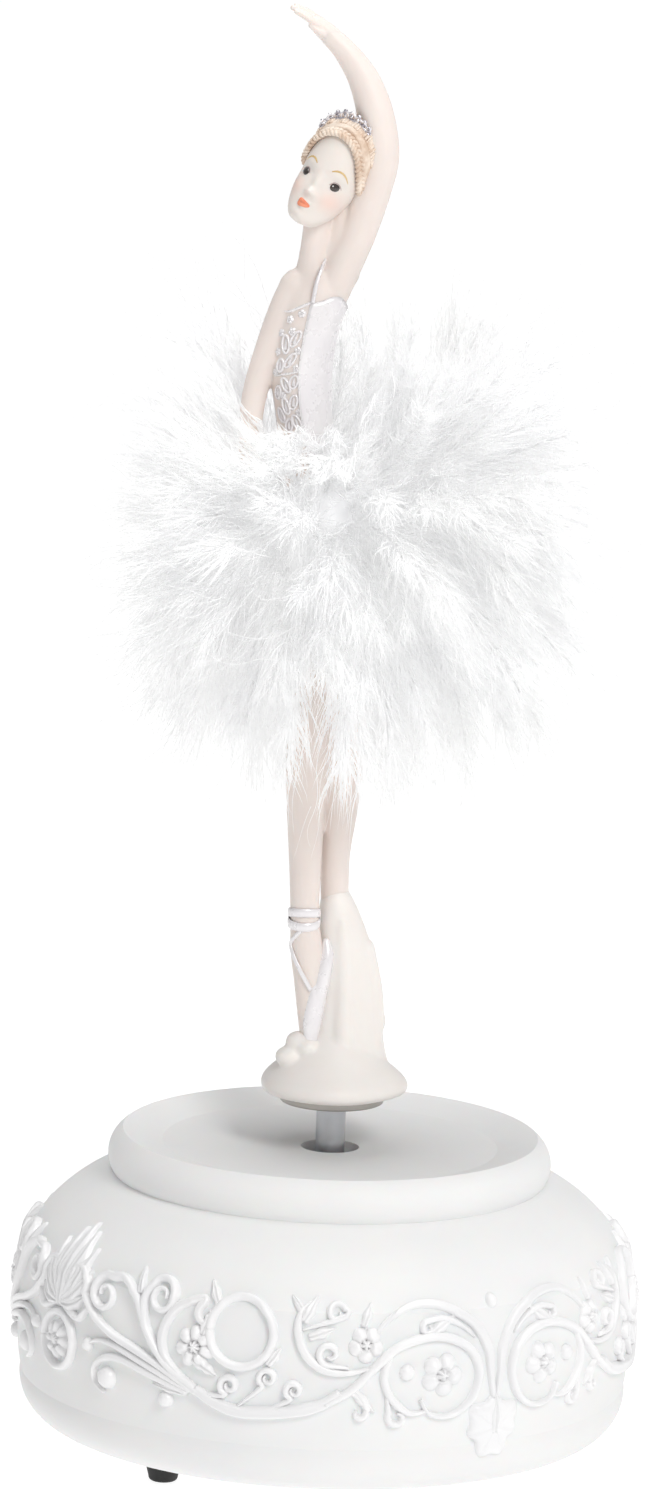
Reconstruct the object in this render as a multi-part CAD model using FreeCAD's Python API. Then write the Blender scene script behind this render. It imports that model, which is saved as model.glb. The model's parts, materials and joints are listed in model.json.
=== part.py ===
import FreeCAD, Part
import math
import os

# Ballerina music box: a domed bisque base on three rubber feet, an 18-note movement
# on the bottom plate, and a porcelain dancer that turns on the movement's spindle.
# Millimetres. +Z is up, the origin is on the spin axis in the plane that the feet
# rest on, and the dancer's front faces -Y.

V = FreeCAD.Vector
X = V(1, 0, 0)
Y = V(0, 1, 0)
Z = V(0, 0, 1)

# --- driving dimensions: base -------------------------------------------------
BASE_R = 52.4            # widest radius of the bare bisque body
BASE_WIDEST_Z = 24.0
BASE_BOTTOM_Z = 6.2
BASE_BOTTOM_R = 45.6
SIDE_ARC_R = 60.0
SHOULDER_Z = 37.4
RIM_R = 37.5             # rounded rim of the dished top
RIM_TOP_Z = 56.0
RIM_UNDER_Z = 49.0
TOP_DISH_Z = 53.5
WALL = 4.0
TOP_HOLE_R = 4.95
CAVITY_R = 47.6
CAVITY_TOP_Z = 49.5
MOUTH_R = 42.0           # bottom opening that the plate closes

PLATE_R = 41.8
PLATE_Z = 9.5
PLATE_T = 2.5
PLATE_TOP_Z = PLATE_Z + PLATE_T
KEY_HOLE_R = 5.0
BOSS_R = 3.5
BOSS_RING_R = 38.2
BOSS_ANGLES = (40.0, 160.0, 280.0)       # degrees from +X
SCREW_R = 1.2
SCREW_HEAD_R = 2.4

FOOT_RING_R = 34.0
FOOT_ANGLES = {"foot_front_left": 220.0, "foot_right": 8.0, "foot_rear": 116.0}
FOOT_TIP_R = 2.5
FOOT_WAIST_R = 3.6
FOOT_TOP_R = 5.0
FOOT_PEG_R = 2.0
FOOT_BARB_Z = PLATE_TOP_Z + 1.6

FRIEZE_REPEATS = 12
FRIEZE_Z = 28.5
FRIEZE_RING_R = 8.2
FRIEZE_BEAD_R = 1.15

# --- driving dimensions: movement ----------------------------------------------
BED_Z = PLATE_TOP_Z
BED_T = 2.0
BED_TOP_Z = BED_Z + BED_T
BED_LIMIT_R = 40.5
BED_X0 = -17.0
BED_X1 = 38.4
BED_Y0 = -22.0
BED_Y1 = 19.5
MOVEMENT_SCREWS = ((-13.2, -17.5), (-13.2, 15.5), (21.5, 14.5))
BRIDGE_POST_Y = 16.6
BRIDGE_Z = 33.0
BRIDGE_T = 1.6
BEARING_T = 1.2
INNER_BEARING_X = 14.0
OUTER_BEARING_X = 36.0
GOVERNOR_PLATE_X = 24.6
RUN = 0.05               # radial running clearance

BARREL_Z = 16.6
BARREL_R = 10.9
BARREL_WALL = 0.8
BARREL_LID_Z = 25.0
CROWN_Z = 26.2           # root plane of the crown teeth
CROWN_TEETH = 48
CROWN_IN_R = 11.2
CROWN_OUT_R = 13.2
CROWN_PITCH_R = 12.2
CROWN_ADD = 0.5
CROWN_TOOTH_H = 1.15

PINION_TEETH = 16
PINION_R = CROWN_PITCH_R * PINION_TEETH / CROWN_TEETH
CROWN_PITCH_Z = CROWN_Z + CROWN_TOOTH_H - CROWN_ADD
CYL_Z = CROWN_PITCH_Z + PINION_R
CYL_R = 6.4
CYL_PIN_H = 0.45
CYL_X0 = 16.2
CYL_X1 = 30.2
CYL_ARBOR_R = 1.2

END_GEAR_TEETH = 24
IDLER_TEETH = 12
SPUR_MODULE = 0.5
END_GEAR_R = END_GEAR_TEETH * SPUR_MODULE / 2
IDLER_R = IDLER_TEETH * SPUR_MODULE / 2
IDLER_Y = END_GEAR_R + IDLER_R
SPUR_X0 = 33.6
SPUR_X1 = 35.2
IDLER_ARBOR_R = 0.7

WHEEL_TEETH = 16
WHEEL_R = 3.2
WHEEL_X = 31.2
WHEEL_T = 0.8
WORM_STARTS = 2
WORM_LEAD = 2 * math.pi * WHEEL_R * WORM_STARTS / WHEEL_TEETH
WORM_CORE_R = 1.0
WORM_PITCH_R = 1.5
WORM_OUT_R = 1.95
WORM_Y = IDLER_Y + WHEEL_R + WORM_PITCH_R
WORM_HALF_H = 3.6
WORM_JOURNAL_R = 0.5
FAN_HALF_SPAN = 4.4
FAN_H = 5.0

COMB_TEETH = 18
COMB_PITCH = 0.75
COMB_T = 0.8
COMB_TIP_Y = -(CYL_R + CYL_PIN_H + 0.25)
COMB_BACK_Y = -21.0
COMB_ROOT_Y = -13.0          # root of the longest tooth
COMB_SCREW_SPOTS = ((18.6, -18.6), (27.6, -18.6))
COMB_SCREW_R = 0.9

SPINDLE_R = 1.5
SLEEVE_R = 2.5
SLEEVE_Z = 36.6
DISC_R = 8.85
DISC_Z = 61.5
DISC_T = 1.4
ARBOR_R = 2.2
KEY_THREAD_R = 1.4
KEY_WIDTH = 22.0

# --- driving dimensions: dancer and tutu ---------------------------------------
FIGURE_Z = DISC_Z + DISC_T
HEAD_CENTRE = V(-6.2, -1.0, 219.6)
HIP_CENTRE = V(-4.4, 0.6, 152.0)
CORD_RING_R = 9.0
CORD_R = 1.0
TUTU_X = 2.5
TUTU_Z = 158.0
TUTU_R = 40.5
TUTU_HALF_H = 40.5


# --- helpers --------------------------------------------------------------------
def tube(outer, inner, z0, z1):
    body = Part.makeCylinder(outer, z1 - z0, V(0, 0, z0))
    bore = Part.makeCylinder(inner, z1 - z0 + 2, V(0, 0, z0 - 1))
    return body.cut(bore)


def disc_at(radius, x, y, z0, z1):
    return Part.makeCylinder(radius, z1 - z0, V(x, y, z0))


def block(x0, x1, y0, y1, z0, z1):
    return Part.makeBox(x1 - x0, y1 - y0, z1 - z0, V(x0, y0, z0))


def rod_x(radius, x0, x1, y, z):
    return Part.makeCylinder(radius, x1 - x0, V(x0, y, z), X)


def line(a, b):
    return Part.LineSegment(a, b).toShape()


def arc(a, via, b):
    return Part.Arc(a, via, b).toShape()


def revolved(edges):
    """A solid of revolution about Z from edges in the XZ plane."""
    face = Part.Face(Part.Wire(edges))
    return face.revolve(V(0, 0, 0), Z, 360)


def ring_spot(radius, degrees):
    angle = math.radians(degrees)
    return radius * math.cos(angle), radius * math.sin(angle)


def fused(shapes):
    return shapes[0].multiFuse(shapes[1:]).removeSplitter()


def toothed_wheel(teeth, pitch_r, addendum, dedendum, x0, x1, y, z, start):
    """A straight-toothed wheel about an axis along X; one tooth is centred on start."""
    step = 2 * math.pi / teeth
    points = []
    for k in range(teeth):
        centre = start + k * step
        for radius, share in (
            (pitch_r - dedendum, -0.24),
            (pitch_r + addendum, -0.09),
            (pitch_r + addendum, 0.09),
            (pitch_r - dedendum, 0.24),
        ):
            angle = centre + share * step
            points.append(V(x0, y + radius * math.cos(angle), z + radius * math.sin(angle)))
    points.append(points[0])
    return Part.Face(Part.makePolygon(points)).extrude(V(x1 - x0, 0, 0))


def ellipse_wire(x, y, z, rx, ry):
    """A closed horizontal ellipse, whichever half-axis is the longer."""
    if rx >= ry:
        curve = Part.Ellipse(V(x + rx, y, z), V(x, y + ry, z), V(x, y, z))
    else:
        curve = Part.Ellipse(V(x, y + ry, z), V(x - rx, y, z), V(x, y, z))
    return Part.Wire(curve.toShape())


def limb(stations):
    """A smooth round-sectioned solid through (x, y, z, radius) stations."""
    spots = [V(*s[:3]) for s in stations]
    wires = []
    for k, station in enumerate(stations):
        ahead = spots[min(k + 1, len(spots) - 1)]
        behind = spots[max(k - 1, 0)]
        wires.append(Part.Wire(Part.makeCircle(station[3], spots[k], ahead - behind)))
    return Part.makeLoft(wires, True, False)


# --- base -----------------------------------------------------------------------
def base_outline():
    """The outside of the bisque body as edges from the axis at the top to the bottom."""
    side_z = SHOULDER_Z - BASE_WIDEST_Z
    shoulder = V(BASE_R - SIDE_ARC_R + math.sqrt(SIDE_ARC_R**2 - side_z**2), 0, SHOULDER_Z)
    belly = V(BASE_R, 0, BASE_WIDEST_Z)
    skirt = V(BASE_R - 0.8, 0, BASE_WIDEST_Z - 9.5)
    bottom = V(BASE_BOTTOM_R, 0, BASE_BOTTOM_Z)
    rim_under = V(RIM_R - 0.6, 0, RIM_UNDER_Z)
    rim_top = V(RIM_R - 2.2, 0, RIM_TOP_Z)
    dish = V(RIM_R - 9.0, 0, TOP_DISH_Z + 0.6)
    centre = V(0, 0, TOP_DISH_Z)
    return [
        line(centre, V(TOP_HOLE_R + 3, 0, TOP_DISH_Z)),
        line(V(TOP_HOLE_R + 3, 0, TOP_DISH_Z), dish),
        line(dish, rim_top),
        arc(rim_top, V(RIM_R, 0, TOP_DISH_Z - 0.4), rim_under),
        arc(rim_under, V(45.6, 0, 43.9), shoulder),
        arc(shoulder, belly, skirt),
        arc(skirt, V(50.2, 0, 8.9), bottom),
        line(bottom, V(0, 0, BASE_BOTTOM_Z)),
        line(V(0, 0, BASE_BOTTOM_Z), centre),
    ]


def make_base_shell(outside):
    cavity = revolved([
        line(V(0, 0, PLATE_Z - 9), V(MOUTH_R, 0, PLATE_Z - 9)),
        line(V(MOUTH_R, 0, PLATE_Z - 9), V(MOUTH_R, 0, PLATE_TOP_Z + 1)),
        line(V(MOUTH_R, 0, PLATE_TOP_Z + 1), V(CAVITY_R, 0, PLATE_TOP_Z + 5)),
        line(V(CAVITY_R, 0, PLATE_TOP_Z + 5), V(CAVITY_R, 0, SHOULDER_Z - 2)),
        line(V(CAVITY_R, 0, SHOULDER_Z - 2), V(RIM_R - 5, 0, CAVITY_TOP_Z - 3.5)),
        line(V(RIM_R - 5, 0, CAVITY_TOP_Z - 3.5), V(RIM_R - 8, 0, CAVITY_TOP_Z)),
        line(V(RIM_R - 8, 0, CAVITY_TOP_Z), V(0, 0, CAVITY_TOP_Z)),
        line(V(0, 0, CAVITY_TOP_Z), V(0, 0, PLATE_Z - 9)),
    ])
    shell = outside.cut(cavity)
    bosses = []
    pilots = []
    for degrees in BOSS_ANGLES:
        x, y = ring_spot(BOSS_RING_R, degrees)
        bosses.append(disc_at(BOSS_R, x, y, PLATE_TOP_Z, 44.0))
        pilots.append(disc_at(SCREW_R, x, y, PLATE_TOP_Z - 1, PLATE_TOP_Z + 9))
    shell = fused([shell] + bosses)
    shell = shell.cut(Part.makeCylinder(TOP_HOLE_R, 20, V(0, 0, CAVITY_TOP_Z - 5)))
    for pilot in pilots:
        shell = shell.cut(pilot)
    return shell


def make_scroll_frieze(outside):
    """Scroll rings with a rosette in each and a bud between, raised on the belly."""
    pieces = []
    for k in range(FRIEZE_REPEATS):
        degrees = 360.0 * k / FRIEZE_REPEATS
        x, y = ring_spot(BASE_R - 0.35, degrees)
        outward = V(x, y, 0)
        ring = Part.makeTorus(FRIEZE_RING_R, FRIEZE_BEAD_R, V(x, y, FRIEZE_Z), outward)
        rosette = Part.makeSphere(3.2, V(x * 0.968, y * 0.968, FRIEZE_Z))
        pieces.append(ring.cut(outside))
        pieces.append(rosette.cut(outside))
        x, y = ring_spot(BASE_R - 1.7, degrees + 180.0 / FRIEZE_REPEATS)
        bud = Part.makeSphere(2.9, V(x, y, FRIEZE_Z - 7.0))
        pieces.append(bud.cut(outside))
    return Part.makeCompound(pieces)


def make_bottom_plate():
    plate = Part.makeCylinder(PLATE_R, PLATE_T, V(0, 0, PLATE_Z))
    plate = plate.cut(disc_at(KEY_HOLE_R, 0, 0, PLATE_Z - 1, PLATE_TOP_Z + 1))
    for degrees in BOSS_ANGLES:
        x, y = ring_spot(BOSS_RING_R, degrees)
        plate = plate.cut(disc_at(SCREW_R + 0.2, x, y, PLATE_Z - 1, PLATE_TOP_Z + 1))
    for degrees in FOOT_ANGLES.values():
        x, y = ring_spot(FOOT_RING_R, degrees)
        plate = plate.cut(disc_at(FOOT_PEG_R, x, y, PLATE_Z - 1, PLATE_TOP_Z + 1))
    for x, y in MOVEMENT_SCREWS:
        plate = plate.cut(disc_at(SCREW_R + 0.1, x, y, PLATE_Z - 1, PLATE_TOP_Z + 1))
    return plate


def pan_screw(x, y, head_z, tip_z, radius, head_r):
    """A pan-head screw driven upwards, its slotted head below head_z."""
    shank = disc_at(radius, x, y, head_z, tip_z)
    head = disc_at(head_r, x, y, head_z - 1.4, head_z)
    slot = block(x - head_r, x + head_r, y - 0.3, y + 0.3, head_z - 1.5, head_z - 0.8)
    return shank.fuse(head).cut(slot)


def make_plate_screws():
    spots = [ring_spot(BOSS_RING_R, degrees) for degrees in BOSS_ANGLES]
    return Part.makeCompound(
        [pan_screw(x, y, PLATE_Z, PLATE_TOP_Z + 8, SCREW_R, SCREW_HEAD_R) for x, y in spots]
    )


def make_foot(degrees):
    """A tapered rubber foot with a peg and a barb that snaps through the plate."""
    edge = 0.8
    foot = revolved([
        line(V(0, 0, 0), V(FOOT_TIP_R - edge, 0, 0)),
        arc(V(FOOT_TIP_R - edge, 0, 0), V(FOOT_TIP_R - 0.2, 0, 0.25), V(FOOT_TIP_R, 0, edge)),
        line(V(FOOT_TIP_R, 0, edge), V(FOOT_WAIST_R, 0, 5.0)),
        line(V(FOOT_WAIST_R, 0, 5.0), V(FOOT_TOP_R, 0, PLATE_Z - 1.5)),
        line(V(FOOT_TOP_R, 0, PLATE_Z - 1.5), V(FOOT_TOP_R, 0, PLATE_Z)),
        line(V(FOOT_TOP_R, 0, PLATE_Z), V(FOOT_PEG_R, 0, PLATE_Z)),
        line(V(FOOT_PEG_R, 0, PLATE_Z), V(FOOT_PEG_R, 0, PLATE_TOP_Z)),
        line(V(FOOT_PEG_R, 0, PLATE_TOP_Z), V(FOOT_PEG_R + 0.7, 0, PLATE_TOP_Z)),
        line(V(FOOT_PEG_R + 0.7, 0, PLATE_TOP_Z), V(1.2, 0, FOOT_BARB_Z)),
        line(V(1.2, 0, FOOT_BARB_Z), V(0, 0, FOOT_BARB_Z)),
        line(V(0, 0, FOOT_BARB_Z), V(0, 0, 0)),
    ])
    x, y = ring_spot(FOOT_RING_R, degrees)
    foot.translate(V(x, y, 0))
    return foot


# --- movement: fixed pieces -------------------------------------------------------
def make_bedplate():
    bed = block(BED_X0, BED_X1, BED_Y0, BED_Y1, BED_Z, BED_TOP_Z)
    bed = bed.common(disc_at(BED_LIMIT_R, 0, 0, BED_Z - 1, BED_TOP_Z + 1))
    bed = bed.cut(disc_at(ARBOR_R + RUN, 0, 0, BED_Z - 1, BED_TOP_Z + 1))
    bed = bed.cut(disc_at(WORM_JOURNAL_R + RUN, WHEEL_X, WORM_Y, BED_Z + 1, BED_TOP_Z + 1))
    for x, y in MOVEMENT_SCREWS:
        bed = bed.cut(disc_at(SCREW_R, x, y, BED_Z - 1, BED_TOP_Z + 1))
    for degrees in FOOT_ANGLES.values():
        x, y = ring_spot(FOOT_RING_R, degrees)
        bed = bed.cut(disc_at(FOOT_PEG_R + 1.0, x, y, BED_Z - 1, BED_TOP_Z + 1))
    return bed


def make_movement_screws():
    return Part.makeCompound(
        [pan_screw(x, y, PLATE_Z, BED_TOP_Z + 1.5, SCREW_R, SCREW_HEAD_R) for x, y in MOVEMENT_SCREWS]
    )


def make_barrel_bridge():
    """A strap on two posts over the spring barrel; it steadies the output spindle."""
    strap = block(-4, 4, -BRIDGE_POST_Y - 2, BRIDGE_POST_Y + 2, BRIDGE_Z, BRIDGE_Z + BRIDGE_T)
    posts = [disc_at(1.9, 0, side * BRIDGE_POST_Y, BED_TOP_Z, BRIDGE_Z) for side in (-1, 1)]
    bridge = fused([strap] + posts)
    return bridge.cut(disc_at(SPINDLE_R + RUN, 0, 0, BRIDGE_Z - 1, BRIDGE_Z + 3))


def make_clutch_spring():
    """Coil round the winding arbor that grips it against unwinding."""
    wire_r = 0.28
    coil_r = ARBOR_R + RUN + wire_r + 0.05
    helix = Part.makeHelix(0.62, 1.24, coil_r)
    profile = Part.Wire(Part.makeCircle(wire_r, V(coil_r, 0, 0), Y))
    coil = Part.Wire(helix).makePipeShell([profile], True, True)
    coil.translate(V(0, 0, BED_TOP_Z + wire_r + 0.05))
    return coil


def make_bearing(x0, hole_spots, y0, y1, top_z):
    """An upright bearing plate with a foot flange on the bedplate."""
    plate = block(x0, x0 + BEARING_T, y0, y1, BED_TOP_Z, top_z)
    for y, z, radius in hole_spots:
        plate = plate.cut(rod_x(radius + RUN, x0 - 1, x0 + BEARING_T + 1, y, z))
    return plate


def make_governor_frame():
    """Upright plate for the idler with an arm over the worm's top pivot."""
    arm_z = CYL_Z + WORM_HALF_H + 1.2
    upright = block(
        GOVERNOR_PLATE_X, GOVERNOR_PLATE_X + BEARING_T, IDLER_Y - 1.8, WORM_Y + 3.5, BED_TOP_Z, arm_z + 1.4
    )
    arm = block(GOVERNOR_PLATE_X, WHEEL_X + 2.5, WORM_Y - 2.0, WORM_Y + 2.4, arm_z, arm_z + 1.4)
    frame = fused([upright, arm])
    bore = rod_x(IDLER_ARBOR_R + RUN, GOVERNOR_PLATE_X - 1, GOVERNOR_PLATE_X + 3, IDLER_Y, CYL_Z)
    frame = frame.cut(bore)
    return frame.cut(disc_at(WORM_JOURNAL_R + RUN, WHEEL_X, WORM_Y, arm_z - 1, arm_z + 3))


def make_comb_base():
    return block(CYL_X0 - 0.4, CYL_X1 + 0.6, COMB_BACK_Y, COMB_ROOT_Y + 0.6, BED_TOP_Z, CYL_Z - COMB_T)


def make_music_comb():
    x0 = CYL_X0 + 0.3
    back = block(x0, x0 + COMB_TEETH * COMB_PITCH, COMB_BACK_Y, COMB_ROOT_Y, CYL_Z - COMB_T, CYL_Z)
    teeth = []
    for k in range(COMB_TEETH):
        left = x0 + k * COMB_PITCH
        root_y = COMB_ROOT_Y - 0.18 * k
        teeth.append(block(left, left + 0.55, root_y - 0.01, COMB_TIP_Y, CYL_Z - 0.45, CYL_Z))
    return fused([back] + teeth)


def cut_for_comb_screws(shape):
    for x, y in COMB_SCREW_SPOTS:
        shape = shape.cut(disc_at(COMB_SCREW_R, x, y, CYL_Z - 5, CYL_Z + 1))
    return shape


def make_comb_screws():
    screws = []
    for x, y in COMB_SCREW_SPOTS:
        shank = disc_at(COMB_SCREW_R, x, y, CYL_Z - 5, CYL_Z)
        head = disc_at(1.7, x, y, CYL_Z, CYL_Z + 1.1)
        slot = block(x - 1.8, x + 1.8, y - 0.25, y + 0.25, CYL_Z + 0.6, CYL_Z + 1.2)
        screws.append(shank.fuse(head).cut(slot))
    return Part.makeCompound(screws)


# --- movement: spring barrel, spindle and key --------------------------------------
def make_spring_barrel():
    drum = tube(BARREL_R, BARREL_R - BARREL_WALL, BARREL_Z, BARREL_LID_Z)
    lid = Part.makeCylinder(CROWN_OUT_R + 0.2, CROWN_Z - BARREL_LID_Z, V(0, 0, BARREL_LID_Z))
    teeth = []
    step = 360.0 / CROWN_TEETH
    pitch = 2 * math.pi * CROWN_PITCH_R / CROWN_TEETH
    top_z = CROWN_Z + CROWN_TOOTH_H
    for k in range(CROWN_TEETH):
        root = pitch * 0.24
        tip = pitch * 0.09
        outline = [
            V(CROWN_IN_R, -root, CROWN_Z - 0.05),
            V(CROWN_IN_R, root, CROWN_Z - 0.05),
            V(CROWN_IN_R, tip, top_z),
            V(CROWN_IN_R, -tip, top_z),
            V(CROWN_IN_R, -root, CROWN_Z - 0.05),
        ]
        tooth = Part.Face(Part.makePolygon(outline)).extrude(V(CROWN_OUT_R - CROWN_IN_R, 0, 0))
        tooth.rotate(V(0, 0, 0), Z, (k + 0.5) * step)
        teeth.append(tooth)
    barrel = fused([drum, lid] + teeth)
    return barrel.cut(disc_at(SPINDLE_R, 0, 0, BARREL_LID_Z - 1, CROWN_Z + 1))


def make_barrel_cover():
    return tube(BARREL_R - BARREL_WALL, ARBOR_R + RUN, BARREL_Z, BARREL_Z + 0.8)


def make_mainspring():
    """A flat spiral strip between the winding arbor and the barrel wall."""
    inner_r = ARBOR_R + 0.6
    outer_r = BARREL_R - BARREL_WALL - 0.4
    turns = 6
    strip = 0.35
    steps = turns * 16
    inner = []
    outer = []
    for k in range(steps + 1):
        share = k / steps
        angle = 2 * math.pi * turns * share
        radius = inner_r + (outer_r - inner_r - strip) * share
        inner.append(V(radius * math.cos(angle), radius * math.sin(angle), BARREL_Z + 1.2))
        radius += strip
        outer.append(V(radius * math.cos(angle), radius * math.sin(angle), BARREL_Z + 1.2))
    curves = []
    for points in (inner, outer):
        curve = Part.BSplineCurve()
        curve.interpolate(points)
        curves.append(curve.toShape())
    ends = [line(inner[0], outer[0]), line(inner[-1], outer[-1])]
    outline = Part.Wire(Part.__sortEdges__(curves + ends))
    return Part.Face(outline).extrude(V(0, 0, BARREL_LID_Z - BARREL_Z - 1.8))


def make_output_spindle():
    spindle = disc_at(SPINDLE_R, 0, 0, BARREL_LID_Z, FIGURE_Z)
    collar = disc_at(SPINDLE_R + 1.2, 0, 0, CROWN_Z, CROWN_Z + 1.4)
    return spindle.fuse(collar)


def make_shaft_sleeve():
    return tube(SLEEVE_R, SPINDLE_R, SLEEVE_Z, DISC_Z)


def make_turntable_disc():
    disc = tube(DISC_R, SPINDLE_R, DISC_Z, DISC_Z + DISC_T)
    edges = [e for e in disc.Edges if abs(e.Length - 2 * math.pi * DISC_R) < 0.01]
    return disc.makeFillet(0.3, edges)


def make_winding_arbor():
    arbor = disc_at(ARBOR_R, 0, 0, BED_Z, BARREL_LID_Z - 0.4)
    threaded_end = disc_at(KEY_THREAD_R, 0, 0, PLATE_Z - 5, BED_Z)
    hook = block(ARBOR_R - 0.5, ARBOR_R + 0.35, -0.6, -0.1, BARREL_Z + 2.5, BARREL_Z + 6.5)
    return fused([arbor, threaded_end, hook])


def make_winding_key():
    """A butterfly key: a hub on the arbor's end and a flat pierced wing plate."""
    hub = disc_at(3.0, 0, 0, PLATE_Z - 6, BED_Z - 0.3)
    half = KEY_WIDTH / 2
    lobe_r = 3.6
    wing_z = 4.9
    lobes = [
        Part.makeCylinder(lobe_r, 1.6, V(side * (half - lobe_r), -0.8, wing_z), Y) for side in (-1, 1)
    ]
    web = block(-(half - lobe_r), half - lobe_r, -0.8, 0.8, wing_z - 2.4, wing_z + 2.4)
    key = fused([hub, web] + lobes)
    for side in (-1, 1):
        key = key.cut(Part.makeCylinder(1.7, 4, V(side * (half - lobe_r), -2, wing_z), Y))
    return key.cut(disc_at(KEY_THREAD_R, 0, 0, PLATE_Z - 5, BED_Z + 1))


# --- movement: cylinder, idler and governor -----------------------------------------
def make_music_cylinder():
    drum = rod_x(CYL_R, CYL_X0, CYL_X1, 0, CYL_Z)
    drum = drum.cut(rod_x(CYL_R - 0.7, CYL_X0 + 0.8, CYL_X1 - 0.8, 0, CYL_Z))
    drum = drum.cut(rod_x(CYL_ARBOR_R, CYL_X0 - 1, CYL_X1 + 1, 0, CYL_Z))
    pins = []
    for k in range(COMB_TEETH):
        x = CYL_X0 + 0.3 + k * COMB_PITCH + 0.28
        for n in range(3):
            angle = math.radians(47.0 * k + 120.0 * n + 11.0 * (k % 5))
            along = V(0, math.cos(angle), math.sin(angle))
            start = V(x, 0, CYL_Z) + along * (CYL_R - 0.3)
            pins.append(Part.makeCylinder(0.2, CYL_PIN_H + 0.3, start, along))
    return fused([drum] + pins)


def make_cylinder_arbor():
    x0 = CROWN_IN_R - 0.4
    return rod_x(CYL_ARBOR_R, x0, OUTER_BEARING_X + BEARING_T + 0.4, 0, CYL_Z)


def make_cylinder_pinion():
    wheel = toothed_wheel(
        PINION_TEETH, PINION_R, 0.5, 0.62, CROWN_IN_R, CROWN_OUT_R, 0, CYL_Z, -math.pi / 2
    )
    return wheel.cut(rod_x(CYL_ARBOR_R, 0, 50, 0, CYL_Z))


def make_cylinder_end_gear():
    wheel = toothed_wheel(END_GEAR_TEETH, END_GEAR_R, 0.4, 0.55, SPUR_X0, SPUR_X1, 0, CYL_Z, 0.0)
    return wheel.cut(rod_x(CYL_ARBOR_R, 0, 50, 0, CYL_Z))


def make_idler_arbor():
    return rod_x(IDLER_ARBOR_R, GOVERNOR_PLATE_X - 0.3, OUTER_BEARING_X + BEARING_T + 0.2, IDLER_Y, CYL_Z)


def make_idler_pinion():
    half_step = math.pi / IDLER_TEETH
    wheel = toothed_wheel(
        IDLER_TEETH, IDLER_R, 0.4, 0.55, SPUR_X0, SPUR_X1, IDLER_Y, CYL_Z, math.pi + half_step
    )
    return wheel.cut(rod_x(IDLER_ARBOR_R, 0, 50, IDLER_Y, CYL_Z))


def make_worm_wheel():
    x0 = WHEEL_X - WHEEL_T / 2
    wheel = toothed_wheel(WHEEL_TEETH, WHEEL_R, 0.3, 0.5, x0, x0 + WHEEL_T, IDLER_Y, CYL_Z, 0.0)
    return wheel.cut(rod_x(IDLER_ARBOR_R, 0, 50, IDLER_Y, CYL_Z))


def worm_thread(start_angle):
    """One right-hand thread; a thread gap faces the wheel at mid height."""
    height = 2 * WORM_HALF_H - 1.0
    root = 0.26
    tip = 0.13
    sunk = 0.15
    helix = Part.makeHelix(WORM_LEAD, height, WORM_CORE_R)
    outline = Part.makePolygon([
        V(WORM_CORE_R - sunk, 0, -root),
        V(WORM_OUT_R, 0, -tip),
        V(WORM_OUT_R, 0, tip),
        V(WORM_CORE_R - sunk, 0, root),
        V(WORM_CORE_R - sunk, 0, -root),
    ])
    thread = Part.Wire(helix).makePipeShell([Part.Wire(outline)], True, True)
    thread.rotate(V(0, 0, 0), Z, start_angle)
    return thread


def make_governor_worm():
    height = 2 * WORM_HALF_H
    core = Part.makeCylinder(WORM_CORE_R, height, V(0, 0, -0.5))
    # turns of the helix from its foot to the wheel's height, as an angle
    climb = 360.0 * (height / 2 - 0.5) / WORM_LEAD
    half_gap = 180.0 / WORM_STARTS
    threads = [worm_thread(-90.0 - climb + half_gap + 360.0 * n / WORM_STARTS) for n in range(WORM_STARTS)]
    shaft_low = BED_Z + 1.2
    low_z = CYL_Z - WORM_HALF_H + 0.5
    worm = fused([core] + threads)
    worm.translate(V(WHEEL_X, WORM_Y, low_z))
    journal = disc_at(WORM_JOURNAL_R, WHEEL_X, WORM_Y, shaft_low, CYL_Z + WORM_HALF_H + 2.4)
    return worm.fuse(journal)


def make_governor_fan():
    """Two-bladed air brake below the worm."""
    z0 = BED_TOP_Z + 2.0
    hub = disc_at(1.3, WHEEL_X, WORM_Y, z0, z0 + FAN_H)
    x0 = WHEEL_X - FAN_HALF_SPAN
    x1 = WHEEL_X + FAN_HALF_SPAN
    blades = block(x0, x1, WORM_Y - 0.25, WORM_Y + 0.25, z0 + 0.5, z0 + FAN_H - 0.5)
    fan = hub.fuse(blades)
    return fan.cut(disc_at(WORM_JOURNAL_R, WHEEL_X, WORM_Y, z0 - 1, z0 + FAN_H + 1))


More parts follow.
